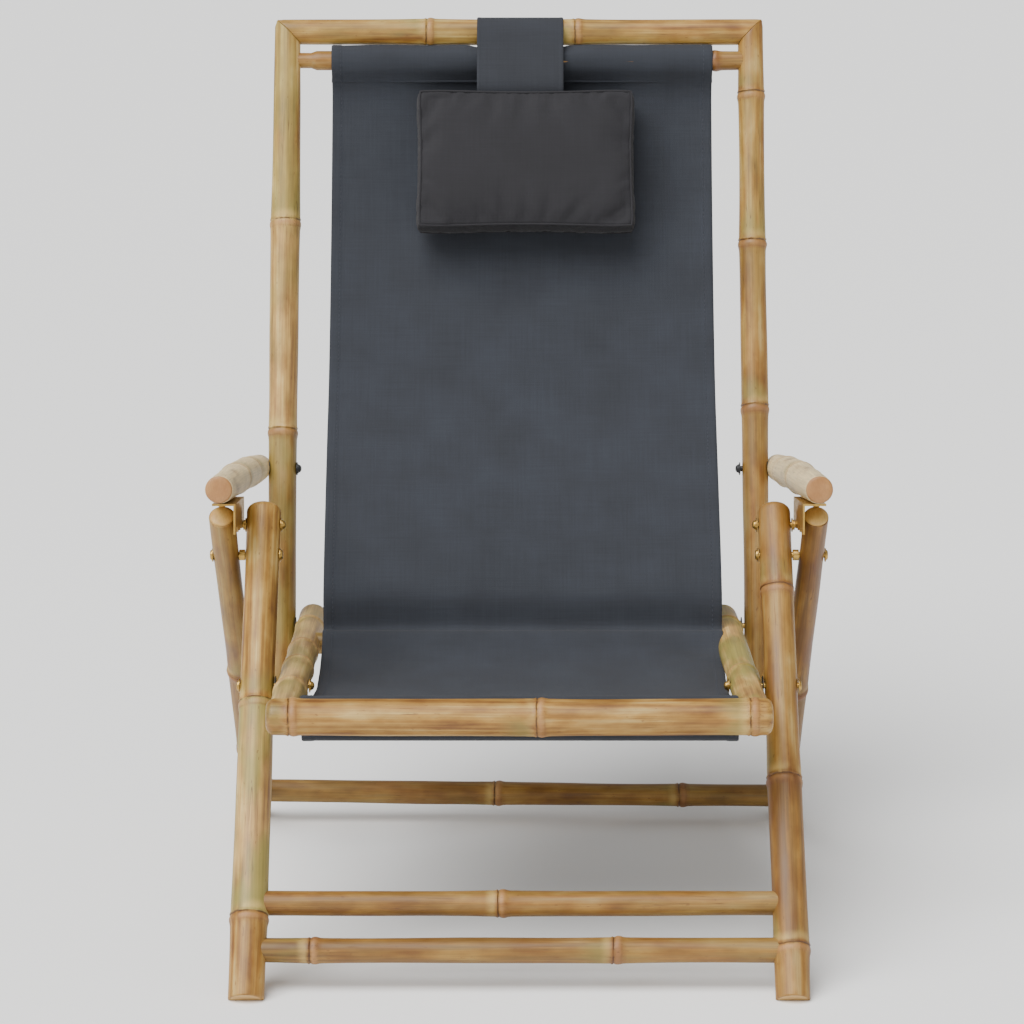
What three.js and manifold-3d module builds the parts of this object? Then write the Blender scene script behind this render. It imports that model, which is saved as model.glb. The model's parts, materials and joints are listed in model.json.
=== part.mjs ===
// A folding recliner of bamboo canes with a canvas sling, a head pillow and notched armrests.
// Millimetres, +Z up. X runs across the chair, the front is towards -Y.
// The chair is laid out with the front feet at Y zero, then centred on its footprint at the end.
import * as THREE from "three";
import { mergeVertices } from "three/addons/utils/BufferGeometryUtils.js";
import Module from "manifold-3d";

const wasm = await Module();
wasm.setup();

// Diameters of the canes
const LEG_CANE = 34;
const REAR_LEG_CANE = 25.5;
const SEAT_CANE = 32;
const BACK_CANE = 28;
const ARM_CANE = 27.5;
const FRONT_RAIL_CANE = 35;
const TOP_RAIL_CANE = 27;
const FRONT_BAR_CANE = 24;
const REAR_BAR_CANE = 25;
const SEAT_BAR_CANE = 22;
const FRONT_ROD_CANE = 22;
const TOP_ROD_CANE = 20;
const TENON = 14;

// Front legs, measured up from the floor or along the cane
const FRONT_LEG_ANGLE = 52.05;
const FRONT_LEG_ABOVE_PIVOT = 55.6;
const SEAT_PIVOT_HEIGHT = 254.3;
const LEG_PIVOT_HEIGHT = 367;
const LOCK_BOLT_BELOW_TOP = 22;
const UPPER_BAR_HEIGHT = 76;
const LOWER_BAR_HEIGHT = 39;

// Rear legs
const FOOT_SPREAD = 615;
const REAR_TOP_BELOW_ARM = 28.3;
const REAR_BAR_UP = 42;

// Seat frame, measured along its rails from the seat pivot
const SEAT_WIDTH = 478;
const SEAT_ANGLE = -2.3;
const FRONT_RAIL_REACH = 140;
const FRONT_ROD_REACH = 108;
const SEAT_BAR_REACH = 212;
const BACK_PIVOT_REACH = 307;
const SEAT_TAIL_REACH = 356;

// Back frame, measured along its uprights from the back pivot
const BACK_ANGLE = 70.5;
const BACK_LENGTH = 659;
const BACK_TAIL = 64;
const TOP_ROD_DROP = 32.5;
const ARM_PIVOT_REACH = 171;

// Armrests, set by the lock bolt that they rest on
const LOCK_BOLT_DROP = 41.4;
const ARM_PAST_BOLT = 94.2;
const ARM_TAIL = 28;

// Room between canes that turn beside each other, and between pieces that touch
const TURN_GAP = 1.5;
const LEG_SPACING = 6.5;
const FIT = 0.3;

// Bolts
const BOLT_SHANK = 6;
const BOLT_HOLE = 6.8;
const BOLT_CAP = 10;
const BOLT_CAP_HEIGHT = 4.2;
const BOLT_WASHER = 14;
const BOLT_WASHER_THICKNESS = 1.1;
const PIVOT_WASHER = 19;

// Ratchet plates under the armrests
const PLATE_THICKNESS = 2;
const PLATE_BEHIND_BOLT = 19.8;
const PLATE_LENGTH = 108;
const PLATE_TAB = 23;
const PLATE_SIDE_GAP = 0.5;
const NOTCH_PITCH = 23;
const NOTCH_COUNT = 4;
const NOTCH_DEPTH = 6;
const NOTCH_RAMP = 10.5;
const NOTCH_WALL_LEAN = 0.4;
const SCREW_SHANK = 3.4;
const SCREW_HEAD = 8;
const SCREW_HEAD_HEIGHT = 1.6;
const SCREW_LENGTH = 12;
const SCREW_HOLE_GAP = 0.3;

// Plugs in the open ends of canes
const NUT_TIP_SHARE = 0.6;
const NUT_BROW_SHARE = 0.94;
const NUT_TIP_HEIGHT_SHARE = 0.14;
const NUT_BROW_HEIGHT_SHARE = 0.55;
const HEAD_FLAT_SHARE = 0.7;
const SCREW_RIM_SHARE = 0.6;
const PLUG_STUB = 14;
const PLUG_STUB_LENGTH = 10;
const PLUG_THICKNESS = 4;
const REAR_PLUG_DOME = 3.4;

// Rings where a cane once had its leaves, and how its ends are worked
const KNOT_RISE = 0.6;
const KNOT_WIDTH = 5;
const CANE_EDGE = 1.4;

// Canvas, strap and pillow
const SLING_SIDE_GAP = 1;
const SLING_THICKNESS = 2;
const SLEEVE_ROOM = 0.5;
const ROD_REACH_ANGLES = [70, 90];
const POCKET_HANG = 31;
const CREASE_GAP = 0.8;
const PILLOW_WIDTH = 236;
const PILLOW_HEIGHT = 152;
const PILLOW_EDGE = 38;
const PILLOW_CROWN = 8;
const PILLOW_DRAW_IN = 5;
const PILLOW_UP = 505;
const PILLOW_ASIDE = 8;
const STRAP_WIDTH = 95;
const STRAP_THICKNESS = 1.8;

// How far a cutting shape runs past what it cuts, and the size of one that halves a piece
const OVERRUN = 5;
const HALVER = 900;

// How finely round things are divided
const CANE_SIDES = 12;
const BOLT_SIDES = 10;
const PILLOW_COLUMNS = 14;
const PILLOW_ROWS = 10;
const CURVE_STEPS = 5;

// Knots, as shares of the cane's length from its first end
const KNOT_SHARES = {
  front_leg_left: [0.16, 0.583],
  front_leg_right: [0.1, 0.43, 0.82],
  rear_leg_left: [0.25, 0.52],
  rear_leg_right: [0.2, 0.46],
  seat_rail_left: [0.6, 0.84],
  seat_rail_right: [0.34, 0.84],
  back_upright_left: [0.385, 0.705],
  back_upright_right: [0.42, 0.674, 0.904],
  armrest_left: [0.32, 0.61],
  armrest_right: [0.25, 0.58],
  front_crossbar_upper: [0.46],
  front_crossbar_lower: [0.1, 0.68],
  rear_crossbar: [0.455],
  seat_front_rail: [0.535],
  seat_crossbar: [0.4, 0.8],
  seat_canvas_rod: [0.5],
  back_top_rail: [0.3, 0.62],
  back_canvas_rod: [0.06, 0.93],
};

// The cloth's run down the back to the hips: shares of the back's length, and of the cloth's sag
const BACK_CLOTH_SHARES = [
  [0.9, -0.8],
  [0.8, -1],
  [0.66, -1],
  [0.53, -0.72],
  [0.38, 0.19],
];
const BACK_CLOTH_SAG = 16.6;

// Its run from the hips down to the crease: shares of the way back and of the height between them
const HIP_CLOTH_SHARES = [
  [0.507, 0.565],
  [0.181, 0.305],
  [0.045, 0.152],
];

// The cloth's run across the seat: shares of the way from the crossbar to the front rod, and of its sag
const SEAT_CLOTH_SHARES = [
  [0.1, 0.05],
  [0.24, -0.6],
  [0.5, -0.95],
  [0.72, -0.62],
  [0.86, -0.02],
];
const SEAT_CLOTH_SAG = 15;

// A plug's rounded head: shares of its radius, and of its thickness
const PLUG_HEAD_SHARES = [
  [1, 0.4],
  [0.86, 0.85],
  [0.5, 1],
  [0, 1],
];

const COLOURS = {
  bamboo: { color: 0xc9a468, roughness: 0.5, metalness: 0 },
  paleBamboo: { color: 0xd9c092, roughness: 0.55, metalness: 0 },
  canvas: { color: 0x45474f, roughness: 0.9, metalness: 0 },
  pillow: { color: 0x3f4148, roughness: 0.9, metalness: 0 },
  brass: { color: 0xb98f3e, roughness: 0.35, metalness: 1 },
  steel: { color: 0x8d8f92, roughness: 0.4, metalness: 1 },
  blackCap: { color: 0x1f2023, roughness: 0.5, metalness: 0 },
};

const SIDES = { left: -1, right: 1 };
const ACROSS = new THREE.Vector3(1, 0, 0);
const UP = new THREE.Vector3(0, 0, 1);

// Where each kind of cane runs across the chair
const seatX = (SEAT_WIDTH - SEAT_CANE) / 2;
const legX = SEAT_WIDTH / 2 + TURN_GAP + LEG_CANE / 2;
const uprightX = SEAT_WIDTH / 2 + TURN_GAP + BACK_CANE / 2;
const armX = uprightX + BACK_CANE / 2 + TURN_GAP + ARM_CANE / 2;
const rearLegX = legX + LEG_CANE / 2 + LEG_SPACING + REAR_LEG_CANE / 2;
const plateX = legX + LEG_CANE / 2 + LEG_SPACING - PLATE_SIDE_GAP - PLATE_THICKNESS;
const slingWidth = SEAT_WIDTH - 2 * (SEAT_CANE + SLING_SIDE_GAP);

// A place seen from the side, and a step from one along a direction
function sidePoint(y, z) {
  return new THREE.Vector3(0, y, z);
}

function sideDirection(degrees) {
  const turn = THREE.MathUtils.degToRad(degrees);
  return sidePoint(Math.cos(turn), Math.sin(turn));
}

function along(start, direction, distance) {
  return start.clone().addScaledVector(direction, distance);
}

function atX(point, x) {
  return new THREE.Vector3(x, point.y, point.z);
}

// The side view: pivots and ends, each from the one before it
const legWay = sideDirection(FRONT_LEG_ANGLE);
const frontFoot = sidePoint(0, 0);
const seatPivot = along(frontFoot, legWay, SEAT_PIVOT_HEIGHT / legWay.z);
const legPivot = along(frontFoot, legWay, LEG_PIVOT_HEIGHT / legWay.z);
const frontTop = along(legPivot, legWay, FRONT_LEG_ABOVE_PIVOT);
const lockBoltAt = along(frontTop, legWay, -LOCK_BOLT_BELOW_TOP);
const upperBarAt = along(frontFoot, legWay, UPPER_BAR_HEIGHT / legWay.z);
const lowerBarAt = along(frontFoot, legWay, LOWER_BAR_HEIGHT / legWay.z);

const rearFoot = sidePoint(FOOT_SPREAD, 0);
const rearWay = legPivot.clone().sub(rearFoot).normalize();
const rearBarAt = along(rearFoot, rearWay, REAR_BAR_UP);

const seatWay = sideDirection(SEAT_ANGLE);
const frontRailAt = along(seatPivot, seatWay, -FRONT_RAIL_REACH);
const frontRodAt = along(seatPivot, seatWay, -FRONT_ROD_REACH);
const seatBarAt = along(seatPivot, seatWay, SEAT_BAR_REACH);
const backPivot = along(seatPivot, seatWay, BACK_PIVOT_REACH);
const seatTail = along(seatPivot, seatWay, SEAT_TAIL_REACH);

const backWay = sideDirection(BACK_ANGLE);
const backFront = sideDirection(BACK_ANGLE + 90);
const backTop = along(backPivot, backWay, BACK_LENGTH);
const backTail = along(backPivot, backWay, -BACK_TAIL);
const topRodAt = along(backTop, backWay, -TOP_ROD_DROP);
const armPivot = along(backPivot, backWay, ARM_PIVOT_REACH);

// The armrest passes the lock bolt at its drop, which sets how far along the bolt lies and the slope
const toBolt = lockBoltAt.clone().sub(armPivot);
const boltReach = Math.sqrt(toBolt.lengthSq() - LOCK_BOLT_DROP ** 2);
const boltAngle = THREE.MathUtils.radToDeg(Math.atan2(toBolt.z, toBolt.y));
const armLift = THREE.MathUtils.radToDeg(Math.atan2(LOCK_BOLT_DROP, boltReach));
const armWay = sideDirection(boltAngle - armLift);
const armUp = sideDirection(boltAngle - armLift - 90);
const armReach = boltReach + ARM_PAST_BOLT;
const plateStart = boltReach - PLATE_BEHIND_BOLT;

// The rear leg ends below the armrest, under its plate
const pivotBelowArm = -legPivot.clone().sub(armPivot).dot(armUp);
const rearAbovePivot = (pivotBelowArm - REAR_TOP_BELOW_ARM) / rearWay.dot(armUp);
const rearTop = along(legPivot, rearWay, rearAbovePivot);

// Closed meshes to solids and back, for joins and cuts
function solidOf(geometry) {
  const bare = new THREE.BufferGeometry();
  bare.setAttribute("position", geometry.getAttribute("position").clone());
  if (geometry.index) bare.setIndex(geometry.index.clone());
  const merged = mergeVertices(bare, 1e-4);
  return new wasm.Manifold(
    new wasm.Mesh({
      numProp: 3,
      vertProperties: new Float32Array(merged.getAttribute("position").array),
      triVerts: new Uint32Array(merged.index.array),
    }),
  );
}

function geometryOf(solid) {
  const mesh = solid.getMesh();
  const geometry = new THREE.BufferGeometry();
  geometry.setAttribute("position", new THREE.BufferAttribute(mesh.vertProperties, 3));
  geometry.setIndex(new THREE.BufferAttribute(mesh.triVerts, 1));
  geometry.computeVertexNormals();
  return geometry;
}

// Joins or cuts a placed mesh with others that share its parent
function combine(mesh, others, way) {
  const toMesh = mesh.matrix.clone().invert();
  let solid = solidOf(mesh.geometry);
  for (const other of others) {
    const shape = other.geometry.clone().applyMatrix4(other.matrix).applyMatrix4(toMesh);
    solid = solid[way](solidOf(shape));
  }
  mesh.geometry = geometryOf(solid);
  return mesh;
}

function cut(mesh, ...others) {
  return combine(mesh, others, "subtract");
}

function fuse(mesh, ...others) {
  return combine(mesh, others, "add");
}

// Puts a shape's own X, Y and Z along three given directions at a place
function place(geometry, at, xWay, yWay, zWay, name = "", look = "bamboo") {
  const mesh = new THREE.Mesh(geometry, new THREE.MeshStandardMaterial(COLOURS[look]));
  mesh.name = name;
  mesh.position.copy(at);
  mesh.quaternion.setFromRotationMatrix(new THREE.Matrix4().makeBasis(xWay, yWay, zWay));
  mesh.updateMatrix();
  return mesh;
}

// Stands a turned shape from one place towards another, with a corner of its sides facing across
function standFrom(geometry, from, to, name, look) {
  const yWay = to.clone().sub(from).normalize();
  const aside = Math.abs(yWay.x) > Math.abs(yWay.z) + Math.abs(yWay.y) ? UP : ACROSS;
  const xWay = new THREE.Vector3().crossVectors(yWay, aside).normalize();
  const zWay = new THREE.Vector3().crossVectors(xWay, yWay);
  return place(geometry, from, xWay, yWay, zWay, name, look);
}

// A turned shape from its outline, given as pairs of radius and height from bottom to top
function turned(pairs, sides) {
  return new THREE.LatheGeometry(
    pairs.map(([radius, height]) => new THREE.Vector2(radius, height)),
    sides,
  );
}

function rod(diameter, from, to, sides = BOLT_SIDES) {
  const length = from.distanceTo(to);
  const radius = diameter / 2;
  return standFrom(turned([[0, 0], [radius, 0], [radius, length], [0, length]], sides), from, to);
}

// The outline of a cane: worked ends, and a low ring at each knot
const END_DEPTH_SHARES = { square: 0, round: 0.55 };
const ROUND_END_STEPS = [0.2, 0.5, 0.8];

function endOutline(radius, end) {
  const depth = radius * END_DEPTH_SHARES[end];
  if (depth === 0) {
    return [[radius - CANE_EDGE, 0], [radius, CANE_EDGE]];
  }
  const arc = ROUND_END_STEPS.map((share) => {
    const turn = (share * Math.PI) / 2;
    return [radius * Math.sin(turn), depth * (1 - Math.cos(turn))];
  });
  return [...arc, [radius, depth]];
}

function caneOutline(length, diameter, knots, firstEnd, lastEnd) {
  const radius = diameter / 2;
  const outline = [[0, 0], ...endOutline(radius, firstEnd)];
  for (const share of knots) {
    const height = share * length;
    outline.push([radius, height - KNOT_WIDTH]);
    outline.push([radius + KNOT_RISE, height - KNOT_WIDTH / 3]);
    outline.push([radius + KNOT_RISE / 2, height + KNOT_WIDTH / 3]);
    outline.push([radius, height + KNOT_WIDTH]);
  }
  for (const [r, h] of endOutline(radius, lastEnd).reverse()) {
    outline.push([r, length - h]);
  }
  outline.push([0, length]);
  return outline;
}

function cane(name, diameter, from, to, firstEnd = "square", lastEnd = "square", look = "bamboo") {
  const length = from.distanceTo(to);
  const knots = KNOT_SHARES[name] ?? [];
  const outline = caneOutline(length, diameter, knots, firstEnd, lastEnd);
  return standFrom(turned(outline, CANE_SIDES), from, to, name, look);
}

// A rod across the chair at one side, for drilling a hole or a socket
function crossDrill(diameter, at, sign, fromX, toX, sides = BOLT_SIDES) {
  return rod(diameter, atX(at, sign * fromX), atX(at, sign * toX), sides);
}

function boltHole(at, sign, x, canes) {
  return crossDrill(BOLT_HOLE, at, sign, x - canes / 2 - OVERRUN, x + canes / 2 + OVERRUN);
}

// A half space that starts at a plane and reaches out along its normal
function beyond(point, normal) {
  const aside = new THREE.Vector3().crossVectors(normal, backFront).normalize();
  const third = new THREE.Vector3().crossVectors(aside, normal);
  const centre = along(point, normal, HALVER / 2);
  return place(new THREE.BoxGeometry(HALVER, HALVER, HALVER), centre, aside, normal, third);
}

const floor = beyond(sidePoint(FOOT_SPREAD / 2, 0), UP.clone().negate());

// The near half of every bolt: a domed nut, a washer, and the shank through the canes
const nutDepth = BOLT_CAP_HEIGHT + BOLT_WASHER_THICKNESS;

function nutOutline(grip) {
  const cap = BOLT_CAP / 2;
  const edge = BOLT_WASHER / 2;
  const shank = BOLT_SHANK / 2;
  return [
    [0, 0],
    [cap * NUT_TIP_SHARE, BOLT_CAP_HEIGHT * NUT_TIP_HEIGHT_SHARE],
    [cap * NUT_BROW_SHARE, BOLT_CAP_HEIGHT * NUT_BROW_HEIGHT_SHARE],
    [cap, BOLT_CAP_HEIGHT],
    [edge, BOLT_CAP_HEIGHT],
    [edge, nutDepth],
    [shank, nutDepth],
    [shank, nutDepth + grip],
    [edge, nutDepth + grip],
    [edge, nutDepth + grip + BOLT_WASHER_THICKNESS],
    [cap, nutDepth + grip + BOLT_WASHER_THICKNESS],
  ];
}

function standBolt(outline, at, sign, innerX, outerX, name, look) {
  const start = atX(at, sign * (innerX - FIT - nutDepth));
  return standFrom(turned(outline, BOLT_SIDES), start, atX(at, sign * outerX), name, look);
}

// A bolt with a low head on its far side
function bolt(name, at, sign, innerX, outerX, look) {
  const grip = outerX - innerX + 2 * FIT;
  const end = nutDepth + grip + BOLT_WASHER_THICKNESS + BOLT_CAP_HEIGHT / 2;
  const outline = [...nutOutline(grip), [(BOLT_CAP / 2) * HEAD_FLAT_SHARE, end], [0, end]];
  return standBolt(outline, at, sign, innerX, outerX, name, look);
}

// A lock bolt: a nut on the leg's far side, then bare shank for a notched plate to drop onto
function lockBolt(name, sign) {
  const innerX = legX - LEG_CANE / 2;
  const outerX = legX + LEG_CANE / 2;
  const grip = LEG_CANE + 2 * FIT;
  const nutFace = nutDepth + (plateX - FIT) - (innerX - FIT);
  const tip = nutDepth + (plateX + PLATE_THICKNESS + FIT) - (innerX - FIT);
  const outline = [
    ...nutOutline(grip),
    [BOLT_CAP / 2, nutFace],
    [BOLT_SHANK / 2, nutFace],
    [BOLT_SHANK / 2, tip],
    [0, tip],
  ];
  return standBolt(outline, lockBoltAt, sign, innerX, outerX, name, "brass");
}

// A flat ring on a bolt, between two canes
function washer(name, at, sign, innerX, room, diameter, look) {
  const hole = BOLT_HOLE / 2;
  const edge = diameter / 2;
  const thickness = room - 2 * FIT;
  const outline = [[hole, 0], [edge, 0], [edge, thickness], [hole, thickness], [hole, 0]];
  const start = atX(at, sign * (innerX + FIT));
  return standFrom(turned(outline, CANE_SIDES), start, atX(at, sign * (innerX + room)), name, look);
}

// A crossbar whose ends are hollowed to sit on two canes and carry a tenon into each
function tenonedBar(name, diameter, at, canes, caneX, from, to) {
  const reach = caneX - canes / 2 + OVERRUN;
  const bar = cane(name, diameter, atX(at, -reach), atX(at, reach));
  const seats = Object.values(SIDES).map((sign) => {
    return rod(canes + 2 * FIT, atX(from, sign * caneX), atX(to, sign * caneX), CANE_SIDES);
  });
  cut(bar, ...seats);
  return fuse(bar, rod(TENON, atX(at, -caneX), atX(at, caneX)));
}

function tenonSocket(at, sign, caneX, canes) {
  return crossDrill(TENON + 2 * FIT, at, sign, caneX - canes / 2 - OVERRUN, caneX + FIT);
}

// A crossbar that goes whole into a socket in each cane
const SOCKET_DEPTH_SHARE = 0.4;

function socketEnd(caneX, canes) {
  return caneX - canes / 2 + canes * SOCKET_DEPTH_SHARE;
}

function socketedBar(name, diameter, at, canes, caneX) {
  const reach = socketEnd(caneX, canes);
  return cane(name, diameter, atX(at, -reach), atX(at, reach));
}

function socket(diameter, at, sign, canes, caneX) {
  const end = socketEnd(caneX, canes) + FIT;
  return crossDrill(diameter + 2 * FIT, at, sign, caneX - canes, end, CANE_SIDES);
}

// Front legs with their two crossbars, and every bolt that they carry
function frontLegs() {
  const group = new THREE.Group();
  for (const [side, sign] of Object.entries(SIDES)) {
    const foot = atX(frontFoot, sign * legX);
    const top = atX(frontTop, sign * legX);
    const leg = cane(`front_leg_${side}`, LEG_CANE, foot, top, "square", "round");
    cut(
      leg,
      floor,
      socket(FRONT_BAR_CANE, upperBarAt, sign, LEG_CANE, legX),
      socket(FRONT_BAR_CANE, lowerBarAt, sign, LEG_CANE, legX),
      boltHole(seatPivot, sign, legX, LEG_CANE),
      boltHole(legPivot, sign, legX, LEG_CANE),
      boltHole(lockBoltAt, sign, legX, LEG_CANE),
    );
    const legInside = legX - LEG_CANE / 2;
    const legOutside = legX + LEG_CANE / 2;
    const rearOutside = rearLegX + REAR_LEG_CANE / 2;
    group.add(
      leg,
      lockBolt(`lock_bolt_${side}`, sign),
      bolt(`seat_pivot_bolt_${side}`, seatPivot, sign, seatX - SEAT_CANE / 2, legOutside, "brass"),
      bolt(`leg_pivot_bolt_${side}`, legPivot, sign, legInside, rearOutside, "brass"),
      washer(`seat_washer_${side}`, seatPivot, sign, SEAT_WIDTH / 2, TURN_GAP, PIVOT_WASHER, "steel"),
      washer(`leg_spacer_${side}`, legPivot, sign, legOutside, LEG_SPACING, PIVOT_WASHER, "steel"),
    );
  }
  group.add(
    socketedBar("front_crossbar_upper", FRONT_BAR_CANE, upperBarAt, LEG_CANE, legX),
    socketedBar("front_crossbar_lower", FRONT_BAR_CANE, lowerBarAt, LEG_CANE, legX),
  );
  return group;
}

// A plug in a cane's open end: a rounded head the size of the cane, and a stub in its bore
function plug(name, diameter, thickness, end, way) {
  const edge = diameter / 2;
  const stub = PLUG_STUB / 2;
  const head = PLUG_STUB_LENGTH + FIT;
  const outline = [
    [0, 0],
    [stub, 0],
    [stub, head],
    [edge, head],
    ...PLUG_HEAD_SHARES.map(([out, up]) => [edge * out, head + thickness * up]),
  ];
  const start = along(end, way, -PLUG_STUB_LENGTH);
  return standFrom(turned(outline, CANE_SIDES), start, along(end, way, thickness), name, "paleBamboo");
}

function plugBore(end, way) {
  const depth = PLUG_STUB_LENGTH + FIT;
  return rod(PLUG_STUB + 2 * FIT, along(end, way, -depth), along(end, way, OVERRUN), CANE_SIDES);
}

// Rear legs with their crossbar and the plugs in their tops
function rearLegs() {
  const group = new THREE.Group();
  for (const [side, sign] of Object.entries(SIDES)) {
    const top = atX(rearTop, sign * rearLegX);
    const leg = cane(`rear_leg_${side}`, REAR_LEG_CANE, atX(rearFoot, sign * rearLegX), top);
    cut(
      leg,
      floor,
      tenonSocket(rearBarAt, sign, rearLegX, REAR_LEG_CANE),
      boltHole(legPivot, sign, rearLegX, REAR_LEG_CANE),
      plugBore(top, rearWay),
    );
    group.add(leg, plug(`rear_leg_plug_${side}`, REAR_LEG_CANE, REAR_PLUG_DOME, top, rearWay));
  }
  const below = along(rearFoot, rearWay, -REAR_LEG_CANE);
  group.add(
    tenonedBar("rear_crossbar", REAR_BAR_CANE, rearBarAt, REAR_LEG_CANE, rearLegX, below, rearTop),
  );
  return group;
}

// A smooth run through side view places, for cloth
function smoothRun(points) {
  const curve = new THREE.CatmullRomCurve3(points, false, "centripetal");
  return curve.getPoints((points.length - 1) * CURVE_STEPS);
}

// A band of cloth of one thickness that follows a run across the chair's width
function ribbon(run, thickness) {
  const halfway = thickness / 2;
  const front = [];
  const rear = [];
  run.forEach((point, i) => {
    const before = run[Math.max(i - 1, 0)];
    const after = run[Math.min(i + 1, run.length - 1)];
    const way = after.clone().sub(before).normalize();
    const aside = new THREE.Vector3().crossVectors(ACROSS, way);
    front.push(along(point, aside, halfway));
    rear.push(along(point, aside, -halfway));
  });
  return [...front, ...rear.reverse()].map((point) => new THREE.Vector2(point.y, point.z));
}

function clothAcross(shape, width, aside, name, look) {
  const geometry = new THREE.ExtrudeGeometry(shape, {
    depth: width,
    bevelEnabled: false,
    curveSegments: CANE_SIDES,
  });
  const start = new THREE.Vector3(aside - width / 2, 0, 0);
  return place(geometry, start, sidePoint(1, 0), UP, ACROSS, name, look);
}

// A full round in side view, as an outline
function ringShape(centre, radius) {
  const shape = new THREE.Shape();
  shape.absarc(centre.y, centre.z, radius, 0, Math.PI * 2, false);
  return shape;
}

// The seat's cloth, from over the crossbar to the pocket round the front rod
const ON_BAR_SHARES = [-0.03, 0, 0.03];
const seatUp = sideDirection(SEAT_ANGLE + 90);
const onSeatBar = SEAT_BAR_CANE / 2 + KNOT_RISE + FIT + SLING_THICKNESS / 2;

function seatCloth() {
  const span = SEAT_BAR_REACH + FRONT_ROD_REACH;
  const overBar = ON_BAR_SHARES.map((way) => {
    return along(along(seatBarAt, seatWay, -way * span), seatUp, onSeatBar);
  });
  const points = SEAT_CLOTH_SHARES.map(([way, rise]) => {
    return along(along(seatBarAt, seatWay, -way * span), seatUp, rise * SEAT_CLOTH_SAG);
  });
  const sleeve = FRONT_ROD_CANE / 2 + FIT + SLEEVE_ROOM + SLING_THICKNESS / 2;
  const overRod = ROD_REACH_ANGLES.map((degrees) => {
    return along(frontRodAt, sideDirection(degrees), sleeve);
  });
  const run = smoothRun([...overBar, ...points, ...overRod]);
  const cloth = clothAcross(
    new THREE.Shape(ribbon(run, SLING_THICKNESS)),
    slingWidth,
    0,
    "sling_seat",
    "canvas",
  );
  const wrap = sleeve + SLING_THICKNESS / 2;
  const pocket = new THREE.Shape();
  pocket.absarc(frontRodAt.y, frontRodAt.z, wrap, 0, Math.PI, false);
  pocket.lineTo(frontRodAt.y - SLING_THICKNESS, frontRodAt.z - POCKET_HANG);
  pocket.lineTo(frontRodAt.y + SLING_THICKNESS, frontRodAt.z - POCKET_HANG);
  fuse(cloth, clothAcross(pocket, slingWidth, 0));
  const room = FRONT_ROD_CANE + 2 * (FIT + SLEEVE_ROOM);
  return cut(cloth, rod(room, atX(frontRodAt, -SEAT_WIDTH), atX(frontRodAt, SEAT_WIDTH), CANE_SIDES));
}

// Seat frame: a front rail, two side rails hollowed onto it, a crossbar, a cloth rod and the cloth
function seatFrame() {
  const group = new THREE.Group();
  const frontRail = cane(
    "seat_front_rail",
    FRONT_RAIL_CANE,
    atX(frontRailAt, -SEAT_WIDTH / 2),
    atX(frontRailAt, SEAT_WIDTH / 2),
    "round",
    "round",
  );
  const railSeat = rod(
    FRONT_RAIL_CANE + 2 * FIT,
    atX(frontRailAt, -SEAT_WIDTH),
    atX(frontRailAt, SEAT_WIDTH),
    CANE_SIDES * 2,
  );
  for (const [side, sign] of Object.entries(SIDES)) {
    const rail = cane(
      `seat_rail_${side}`,
      SEAT_CANE,
      atX(frontRailAt, sign * seatX),
      atX(seatTail, sign * seatX),
      "square",
      "round",
    );
    cut(
      rail,
      railSeat,
      tenonSocket(frontRodAt, sign, seatX, SEAT_CANE),
      tenonSocket(seatBarAt, sign, seatX, SEAT_CANE),
      boltHole(seatPivot, sign, seatX, SEAT_CANE),
      boltHole(backPivot, sign, seatX, SEAT_CANE),
    );
    group.add(rail);
  }
  group.add(
    frontRail,
    tenonedBar("seat_crossbar", SEAT_BAR_CANE, seatBarAt, SEAT_CANE, seatX, frontRailAt, seatTail),
    tenonedBar("seat_canvas_rod", FRONT_ROD_CANE, frontRodAt, SEAT_CANE, seatX, frontRailAt, seatTail),
    seatCloth(),
  );
  return group;
}

// A place on the back, from its reach up the uprights and its stand forward of them
function backPoint(up, forward) {
  return along(along(backPivot, backWay, up), backFront, forward);
}

// The back's cloth, from its sleeve on the top rod down to the crease
function backCloth() {
  const wrap = TOP_ROD_CANE / 2 + FIT + SLEEVE_ROOM;
  const behindRod = backPoint(BACK_LENGTH - TOP_ROD_DROP, -(wrap + SLING_THICKNESS / 2));
  const back = BACK_CLOTH_SHARES.map(([up, forward]) => {
    return backPoint(up * BACK_LENGTH, forward * BACK_CLOTH_SAG);
  });
  const crease = along(seatBarAt, seatUp, onSeatBar + SLING_THICKNESS + CREASE_GAP);
  const toHip = back[back.length - 1].clone().sub(crease);
  const hip = HIP_CLOTH_SHARES.map(([way, rise]) => {
    return sidePoint(crease.y + way * toHip.y, crease.z + rise * toHip.z);
  });
  const run = smoothRun([behindRod, ...back, ...hip, crease]);
  const cloth = clothAcross(
    new THREE.Shape(ribbon(run, SLING_THICKNESS)),
    slingWidth,
    0,
    "sling_back",
    "canvas",
  );
  fuse(cloth, clothAcross(ringShape(topRodAt, wrap + SLING_THICKNESS), slingWidth, 0));
  return cut(cloth, rod(2 * wrap, atX(topRodAt, -SEAT_WIDTH), atX(topRodAt, SEAT_WIDTH), CANE_SIDES));
}

// A filled cushion on a grid: thick in the middle, with sides that draw in between the corners
function pillowPoint(across, up, face) {
  const halfWidth = PILLOW_WIDTH / 2 - PILLOW_DRAW_IN * (1 - up ** 2) * Math.abs(across);
  const halfHeight = PILLOW_HEIGHT / 2 - PILLOW_DRAW_IN * (1 - across ** 2) * Math.abs(up);
  const swell = (1 - across ** 4) * (1 - up ** 4);
  return [across * halfWidth, up * halfHeight, face * (PILLOW_EDGE / 2 + PILLOW_CROWN * swell)];
}

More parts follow.
